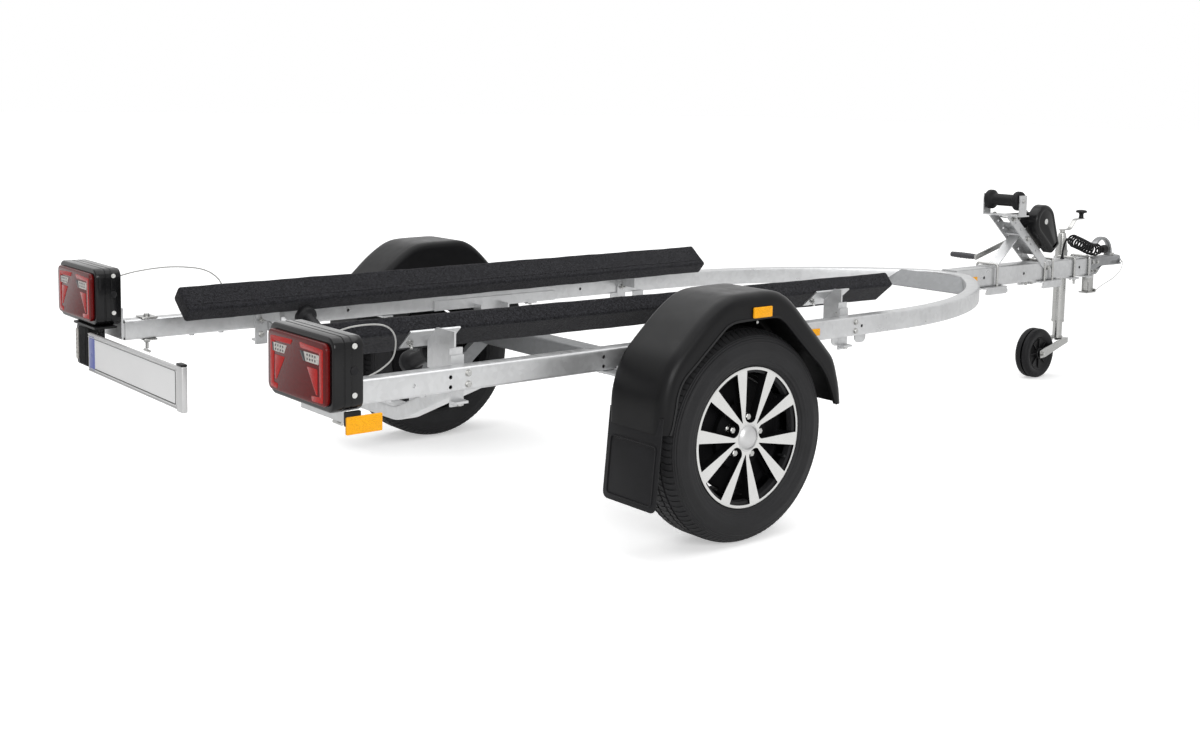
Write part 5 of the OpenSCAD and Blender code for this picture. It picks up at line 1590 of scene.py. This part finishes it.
def build_fittings():
    """Tabs and reflectors on the frame, the clamps at the rails' rear ends and the reflector under a
    light."""
    z, inside = RAIL_LOW[2], HALF_W - RAIL_W
    tab = plate_xz(filleted(mm((-26, 0), (26, 0), (26, -30), (14, -40), (-14, -40), (-26, -30)), 0.006, 4),
                   -0.0025, 0.0025)
    lo = on_axle(0.500, -HALF_W - 0.004, z + 0.018)
    tabs, reflectors, clamps = [], [block(lo, lo + (0.045, 0.004, 0.022), 0.0015)], []
    for s in (1, -1):
        for x in (0.690, 0.800):
            tabs.append(moved(tab, on_axle(x, s * (inside - 0.0030), z + 0.004)))
            tabs.append(nut(on_axle(x, s * (inside - 0.0058), z - 0.022), (0, -s, 0), 0.0085, 0.006))
        tabs += [bolt(on_axle(x, s * (HALF_W - 0.024), z), (0, 0, -1), 0.009) for x in (-0.975, -0.880)]
        x, y = AXLE_X + 2.105, s * (BAR_HIGH[1] + 0.0025)
        reflectors.append(block((x - 0.022, y, BAR_LOW[2] + 0.022),
                                (x + 0.022, y - s * 0.003, BAR_LOW[2] + 0.048), 0.001))
        x, y, face = RAIL_LOW[0] + 0.075, s * (HALF_W - 0.025), s * (HALF_W + 0.0005)
        clamps += [block((x - 0.020, y - 0.032, z - 0.005), (x + 0.020, y + 0.032, z), 0.001),
                   nut((x, y, z - 0.005), (0, 0, -1), 0.010, 0.018),
                   tube([(x, y - 0.020, z - 0.040), (x, y + 0.020, z - 0.040)], 0.0042, 10),
                   block((x - 0.024, y - 0.027, RAIL_TOP), (x + 0.024, y + 0.027, RAIL_TOP + 0.0045),
                   0.0015),
                   bolt((x, y, RAIL_TOP + 0.0045), (0, 0, 1), 0.0095),
                   block((x - 0.045, face, z + 0.012), (x + 0.030, face + s * 0.004, z + 0.048), 0.0015)]
        clamps += [bolt((x + dx, face + s * 0.004, z + 0.030), (0, s, 0), 0.008) for dx in (-0.030, 0.015)]
    add_piece("frame_tabs", join(*tabs), "galvanised")
    add_piece("frame_reflectors", join(*reflectors), "amber")
    add_piece("light_clamps", join(*clamps), "plated")

    x, y, z = low("light_box_right")
    flag = block((x + 0.031, y - 0.002, 0.478), (x + 0.121, y + 0.006, 0.518), 0.0025, 3)
    holder = block((x + 0.030, y + 0.002, z - 0.030), (x + 0.070, y + 0.012, z + 0.003), 0.003)
    add_piece("rear_reflector", flag, "amber", body="light_right")
    add_piece("rear_reflector_tab", holder, "plastic", body="light_right")


# ---- stage: floor, lamps, world and camera ----

CAMERA_AT = (-3.7322, -3.5235, 1.2211)
CAMERA_YAW, CAMERA_PITCH, CAMERA_ROLL = 50.410, 6.194, 1.061
CAMERA_LENS = 42.847
CAMERA_SHIFT = -0.10417
SENSOR_WIDTH = 36.0


FLOOR_HALF = 60.0
LIFT_NEAR, LIFT_FAR, LIFT_MOST = 2.5, 9.0, 0.9
GLOSS_SHARE = 0.55


def placed(obj, axes, at):
    """Puts an object in the scene, its own axes given as columns and its origin as a point."""
    bpy.context.scene.collection.objects.link(obj)
    obj.matrix_world = Matrix.Translation(at) @ Matrix(axes.tolist()).to_4x4()
    return obj


def build_camera():
    """The camera: looks along its yaw and pitch, then rolls about that line."""
    yaw, pitch, roll = np.radians((CAMERA_YAW, CAMERA_PITCH, CAMERA_ROLL))
    ahead = np.array((math.cos(yaw) * math.cos(pitch), math.sin(yaw) * math.cos(pitch), -math.sin(pitch)))
    right = np.array((math.sin(yaw), -math.cos(yaw), 0.0))
    up = np.cross(right, ahead)
    x, y = math.cos(roll) * right + math.sin(roll) * up, math.cos(roll) * up - math.sin(roll) * right
    data = bpy.data.cameras.new("view")
    data.lens, data.shift_y = CAMERA_LENS, CAMERA_SHIFT
    data.sensor_width, data.sensor_fit = SENSOR_WIDTH, "HORIZONTAL"
    data.clip_end = 200
    bpy.context.scene.camera = placed(bpy.data.objects.new("view", data), np.stack([x, y, -ahead], 1),
                                      CAMERA_AT)


def math_node(tree, operation, *values):
    """A node that works out one operation on sockets or numbers."""
    node = tree.nodes.new("ShaderNodeMath")
    node.operation = operation
    for socket, value in zip(node.inputs, values):
        if isinstance(value, float):
            socket.default_value = value
        else:
            tree.links.new(value, socket)
    return node.outputs[0]


def white_for_rays(tree, shader):
    """Mixes in plain white for the rays that come straight from the camera or by way of gloss or glass."""
    path = tree.nodes.new("ShaderNodeLightPath").outputs
    white = tree.nodes.new("ShaderNodeBackground")
    white.inputs["Color"].default_value = (1, 1, 1, 1)
    white.inputs["Strength"].default_value = 1.0
    mix = tree.nodes.new("ShaderNodeMixShader")
    seen = math_node(tree, "MAXIMUM", path["Is Camera Ray"], path["Is Glossy Ray"])
    seen = math_node(tree, "MAXIMUM", seen, path["Is Transmission Ray"])
    for socket, source in zip(mix.inputs, (seen, shader, white.outputs[0])):
        tree.links.new(source, socket)
    return mix.outputs[0]


def build_floor(stage):
    """A white floor whose own light grows away from the trailer, for camera rays and in part for
    glossy ones."""
    corners = np.array(mm((-1000, -1000, 0), (1000, -1000, 0), (1000, 1000, 0),
                          (-1000, 1000, 0))) * FLOOR_HALF
    mesh = bpy.data.meshes.new("floor")
    mesh.from_pydata(corners, [], [(0, 1, 2, 3)])
    floor = placed(bpy.data.objects.new("floor", mesh), np.eye(3), (0, 0, 0))
    mat = bpy.data.materials.new("floor_white")
    mat.use_nodes = True
    tree = mat.node_tree
    bsdf = tree.nodes["Principled BSDF"]
    bsdf.inputs["Base Color"].default_value = (0.92, 0.92, 0.92, 1)
    bsdf.inputs["Roughness"].default_value = 0.9
    bsdf.inputs["Specular IOR Level"].default_value = 0.1
    coords = tree.nodes.new("ShaderNodeTexCoord")
    reach = tree.nodes.new("ShaderNodeVectorMath")
    reach.operation = "LENGTH"
    tree.links.new(coords.outputs["Object"], reach.inputs[0])
    grow = tree.nodes.new("ShaderNodeMapRange")
    grow.interpolation_type = "SMOOTHSTEP"
    tree.links.new(reach.outputs["Value"], grow.inputs["Value"])
    for socket, value in (("From Min", LIFT_NEAR), ("From Max", LIFT_FAR), ("To Min", stage.floor_lift),
                          ("To Max", LIFT_MOST)):
        grow.inputs[socket].default_value = value
    path = tree.nodes.new("ShaderNodeLightPath").outputs
    gloss = math_node(tree, "MULTIPLY", path["Is Glossy Ray"], GLOSS_SHARE)
    seen = math_node(tree, "MAXIMUM", path["Is Camera Ray"], gloss)
    lift = tree.nodes.new("ShaderNodeEmission")
    lift.inputs["Color"].default_value = (1, 1, 1, 1)
    tree.links.new(math_node(tree, "MULTIPLY", seen, grow.outputs["Result"]), lift.inputs["Strength"])
    add = tree.nodes.new("ShaderNodeAddShader")
    tree.links.new(bsdf.outputs[0], add.inputs[0])
    tree.links.new(lift.outputs[0], add.inputs[1])
    tree.links.new(add.outputs[0], tree.nodes["Material Output"].inputs["Surface"])
    mesh.materials.append(mat)


def area_lamp(name, at, towards, size, power):
    """A soft rectangular lamp that shines from a point towards another."""
    data = bpy.data.lights.new(name, "AREA")
    data.shape, data.energy = "RECTANGLE", power
    data.size, data.size_y = size
    placed(bpy.data.objects.new(name, data), axes_of(np.subtract(at, towards)), at)


def build_world(stage):
    """A plain world and two soft lamps, overhead and behind the viewer."""
    world = bpy.data.worlds.new("studio")
    world.use_nodes = True
    tree = world.node_tree
    plain = tree.nodes["Background"]
    plain.inputs["Color"].default_value = (1.0, 1.0, 1.0, 1)
    plain.inputs["Strength"].default_value = stage.world_light
    tree.links.new(white_for_rays(tree, plain.outputs[0]), tree.nodes["World Output"].inputs["Surface"])
    bpy.context.scene.world = world
    area_lamp("overhead", (-0.6, 0.2, 5.5), (-0.4, 0.0, 0.0), (9.0, 6.0), stage.overhead_power)
    area_lamp("side", (-3.5, -6.0, 3.0), (-0.5, 0.0, 0.4), (4.0, 2.5), stage.side_power)
    bpy.context.scene.view_settings.view_transform = "Standard"


def build_finishes(c):
    """Every finish, from the colours of the panel."""
    FINISH.update(
        galvanised=galvanised("galvanised", c.zinc, 0.33, 0.7),
        axle_zinc=galvanised("axle_zinc", c.axle_zinc, 0.45, 0.6),
        cast_zinc=galvanised("cast_zinc", c.cast_zinc, 0.36, 0.8),
        plated=smooth_metal("plated", c.plated, 0.27),
        machined=smooth_metal("machined", c.machined, 0.24, brush=(1, 12, 1)),
        satin_alloy=smooth_metal("satin_alloy", c.satin_alloy, 0.34, 0.85),
        gloss_black=plastic("gloss_black", c.moulding, 0.18, 60.0, 0.00002, coat=0.15, shine=0.16),
        gloss_cover=plastic("gloss_cover", c.moulding, 0.30, 200.0, 0.00004, coat=0.10, shine=0.18),
        barrel=plastic("barrel", c.moulding, 0.55, 200.0, 0.00003, shine=0.05),
        guard_plastic=plastic("guard_plastic", c.moulding, 0.34, 520.0, 0.00006, shine=0.15),
        plastic=plastic("plastic", c.moulding, 0.38, 420.0, 0.00006),
        grip_plastic=plastic("grip_plastic", (0.06, 0.06, 0.065), 0.45),
        dark_chrome=smooth_metal("dark_chrome", (0.05, 0.05, 0.055), 0.3),
        flap_rubber=rubber("flap_rubber", c.rubber, 0.46),
        tyre=rubber("tyre", c.tyre, 0.56, 300.0, 0.00010),
        rubber=rubber("rubber", c.rubber, 0.50),
        cable=rubber("cable", c.moulding, 0.34, 500.0, 0.00002),
        carpet=carpet("carpet", c.carpet),
        webbing=woven("webbing", c.webbing),
        lens_dark=lens("lens_dark", c.lens_dark, 420.0),
        lens_red=lens("lens_red", c.lens_red, 420.0),
        lamp_clear=lens("lamp_clear", (0.52, 0.50, 0.47), 380.0),
        amber=lens("amber", c.amber, 520.0, 0.16),
        plate_white=plastic("plate_white", c.plate, 0.35, 30.0, 0.00001, shine=0.35, cloud=0.01),
        white_plastic=plastic("white_plastic", (0.66, 0.66, 0.64), 0.38, 300.0, 0.00003, shine=0.35),
        wire_grey=plastic("wire_grey", (0.36, 0.36, 0.35), 0.38, 300.0, 0.00003, shine=0.35),
        blue=plastic("blue", c.plate_band, 0.30, 90.0, 0.00002, shine=0.3),
    )


# ---- settings, operators and panel ----

def shade(name, description, default):
    """A colour setting."""
    return bpy.props.FloatVectorProperty(name=name, description=description, default=default, size=3,
                                         min=0.0, max=1.0, subtype="COLOR")


def number(name, description, default, **limits):
    """A plain number setting."""
    return bpy.props.FloatProperty(name=name, description=description, default=default, **limits)


def length_setting(name, description, default, most):
    """A length setting in metres."""
    return number(name, description, default, min=default / 4, max=most, precision=4, unit="LENGTH",
                  subtype="DISTANCE")


class TrailerColours(bpy.types.PropertyGroup):
    """Base colours of the finishes, linear."""
    zinc: shade("Galvanised steel", "Hot-dip zinc of the frame", (0.57, 0.575, 0.58))
    axle_zinc: shade("Axle zinc", "Duller zinc of the axle", (0.22, 0.225, 0.23))
    cast_zinc: shade("Cast zinc", "Coupling and its lever", (0.28, 0.285, 0.29))
    plated: shade("Zinc plate", "Bolts, stand and winch frame", (0.42, 0.42, 0.41))
    machined: shade("Machined alloy", "Spoke faces of the wheels", (0.60, 0.60, 0.59))
    satin_alloy: shade("Satin alloy", "Hub caps and plate holder", (0.52, 0.52, 0.52))
    moulding: shade("Black moulding", "Mudguards, light boxes and covers", (0.005, 0.005, 0.0055))
    tyre: shade("Tyre", "Road tyres", (0.017, 0.017, 0.018))
    rubber: shade("Rubber", "Rollers, flaps and jockey tyre", (0.009, 0.009, 0.010))
    carpet: shade("Carpet", "Bunk covering", (0.014, 0.014, 0.016))
    webbing: shade("Webbing", "Winch strap", (0.018, 0.018, 0.020))
    lens_dark: shade("Dark red", "Field of the rear lenses", (0.105, 0.003, 0.003))
    lens_red: shade("Bright red", "Bands of the rear lenses", (0.42, 0.008, 0.006))
    amber: shade("Amber", "Reflectors", (0.78, 0.34, 0.008))
    plate: shade("Plate", "Blank number plate", (0.86, 0.86, 0.86))
    plate_band: shade("Plate band", "Band at the plate's end", (0.10, 0.13, 0.42))


class TrailerSizes(bpy.types.PropertyGroup):
    """Sizes of the pieces made round the frame."""
    tube_wall: length_setting("Tube wall", "Wall of the side frame's tube", 0.003, 0.006)
    guard_wall: length_setting("Mudguard wall", "Thickness of the mudguards", 0.0032, 0.006)
    lead_coil: length_setting("Lead coil", "Radius of the curly lead's turns", 0.024, 0.026)
    lead_thick: length_setting("Lead diameter", "Diameter of the curly lead", 0.0086, 0.010)
    wire_thick: length_setting("Wire diameter", "Diameter of the breakaway wire", 0.003, 0.005)
    lead_turns: number("Lead turns", "Turns of the curly lead", 11.5, min=4, max=24)
    spoke_turn: number("Spoke turn", "How far each wheel is turned on its stub", math.radians(8.4),
                       unit="ROTATION", subtype="ANGLE")


class TrailerStage(bpy.types.PropertyGroup):
    """Floor, lamps and world."""
    world_light: number("World light", "Strength of the plain world", 0.38, min=0.0, max=1.0)
    overhead_power: number("Overhead lamp", "Power of the overhead lamp", 285.0, min=0.0, unit="POWER")
    side_power: number("Side lamp", "Power of the lamp behind the viewer", 190.0, min=0.0, unit="POWER")
    floor_lift: number("Floor lift", "Brightness added under the trailer", 0.42, min=0.0, max=1.0)


class TRAILER_OT_finishes(bpy.types.Operator):
    """Makes every finish."""
    bl_idname = "trailer.finishes"
    bl_label = "Finishes"

    def execute(self, context):
        build_finishes(context.scene.trailer_colours)
        return {"FINISHED"}


class TRAILER_OT_cords(bpy.types.Operator):
    """Breakaway wire and curly lead."""
    bl_idname = "trailer.cords"
    bl_label = "Cords"

    def execute(self, context):
        build_cords(context.scene.trailer_sizes)
        return {"FINISHED"}


class TRAILER_OT_frame(bpy.types.Operator):
    """Side frame, drawbar, cross beam, axle and welds."""
    bl_idname = "trailer.frame"
    bl_label = "Frame"

    def execute(self, context):
        build_frame(context.scene.trailer_sizes)
        return {"FINISHED"}


class TRAILER_OT_wheels(bpy.types.Operator):
    """Tyres, alloy rims, caps, bolts and valves."""
    bl_idname = "trailer.wheels"
    bl_label = "Wheels"

    def execute(self, context):
        build_wheels(context.scene.trailer_sizes)
        return {"FINISHED"}


class TRAILER_OT_mudguards(bpy.types.Operator):
    """Mudguard shells, flaps and side reflectors."""
    bl_idname = "trailer.mudguards"
    bl_label = "Mudguards"

    def execute(self, context):
        build_mudguards(context.scene.trailer_sizes)
        return {"FINISHED"}


class TRAILER_OT_bunks(bpy.types.Operator):
    """Carpeted boards and their bolts."""
    bl_idname = "trailer.bunks"
    bl_label = "Bunks"

    def execute(self, context):
        build_bunks()
        return {"FINISHED"}


class TRAILER_OT_hull_rollers(bpy.types.Operator):
    """Waisted rollers on the cross beam."""
    bl_idname = "trailer.hull_rollers"
    bl_label = "Hull rollers"

    def execute(self, context):
        build_hull_rollers()
        return {"FINISHED"}


class TRAILER_OT_winch(bpy.types.Operator):
    """Gear cover, drum, strap, crank and bow roller."""
    bl_idname = "trailer.winch"
    bl_label = "Winch"

    def execute(self, context):
        build_winch()
        return {"FINISHED"}


class TRAILER_OT_clamps(bpy.types.Operator):
    """U-bolts and plates round the drawbar."""
    bl_idname = "trailer.clamps"
    bl_label = "Clamps"

    def execute(self, context):
        build_clamps()
        return {"FINISHED"}


class TRAILER_OT_jockey(bpy.types.Operator):
    """Jockey wheel, stand trim and crank."""
    bl_idname = "trailer.jockey"
    bl_label = "Jockey wheel"

    def execute(self, context):
        build_jockey()
        return {"FINISHED"}


class TRAILER_OT_coupling(bpy.types.Operator):
    """Coupling head, lever and plug bracket."""
    bl_idname = "trailer.coupling"
    bl_label = "Coupling"

    def execute(self, context):
        build_coupling()
        return {"FINISHED"}


class TRAILER_OT_lights(bpy.types.Operator):
    """Rear light boxes, lenses and spring wires."""
    bl_idname = "trailer.lights"
    bl_label = "Lights"

    def execute(self, context):
        build_lights()
        return {"FINISHED"}


class TRAILER_OT_plate(bpy.types.Operator):
    """Folding blank plate and its lamp."""
    bl_idname = "trailer.plate"
    bl_label = "Number plate"

    def execute(self, context):
        build_plate()
        return {"FINISHED"}


class TRAILER_OT_fittings(bpy.types.Operator):
    """Tabs, reflectors and light clamps on the frame."""
    bl_idname = "trailer.fittings"
    bl_label = "Fittings"

    def execute(self, context):
        build_fittings()
        return {"FINISHED"}


class TRAILER_OT_stage(bpy.types.Operator):
    """Camera, floor, lamps and world."""
    bl_idname = "trailer.stage"
    bl_label = "Stage"

    def execute(self, context):
        build_camera()
        build_floor(context.scene.trailer_stage)
        build_world(context.scene.trailer_stage)
        return {"FINISHED"}


STEPS = (TRAILER_OT_finishes, TRAILER_OT_stage, TRAILER_OT_cords, TRAILER_OT_frame, TRAILER_OT_wheels,
         TRAILER_OT_mudguards, TRAILER_OT_bunks, TRAILER_OT_hull_rollers, TRAILER_OT_winch,
         TRAILER_OT_clamps, TRAILER_OT_jockey, TRAILER_OT_coupling, TRAILER_OT_lights, TRAILER_OT_plate,
         TRAILER_OT_fittings)
GROUPS = {"trailer_colours": TrailerColours, "trailer_sizes": TrailerSizes, "trailer_stage": TrailerStage}


class TRAILER_PT_build(bpy.types.Panel):
    """Lists the settings and the steps that make the trailer."""
    bl_label = "Boat trailer"
    bl_space_type = "VIEW_3D"
    bl_region_type = "UI"
    bl_category = "Trailer"

    def draw(self, context):
        for group in GROUPS:
            settings = getattr(context.scene, group)
            box = self.layout.box()
            for key in settings.__annotations__:
                box.prop(settings, key)
        for step in STEPS:
            self.layout.operator(step.bl_idname)


def register():
    """Registers every class and hangs the settings on the scene."""
    for cls in (*GROUPS.values(), *STEPS, TRAILER_PT_build):
        bpy.utils.register_class(cls)
    for key, group in GROUPS.items():
        setattr(bpy.types.Scene, key, bpy.props.PointerProperty(type=group))


def unregister():
    """Takes the settings off the scene and unregisters every class."""
    for key in GROUPS:
        delattr(bpy.types.Scene, key)
    for cls in (TRAILER_PT_build, *reversed(STEPS), *reversed(GROUPS.values())):
        bpy.utils.unregister_class(cls)


def main():
    """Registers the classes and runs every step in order."""
    register()
    for step in STEPS:
        getattr(bpy.ops.trailer, step.bl_idname.split(".")[1])()


if __name__ == "__main__":
    main()
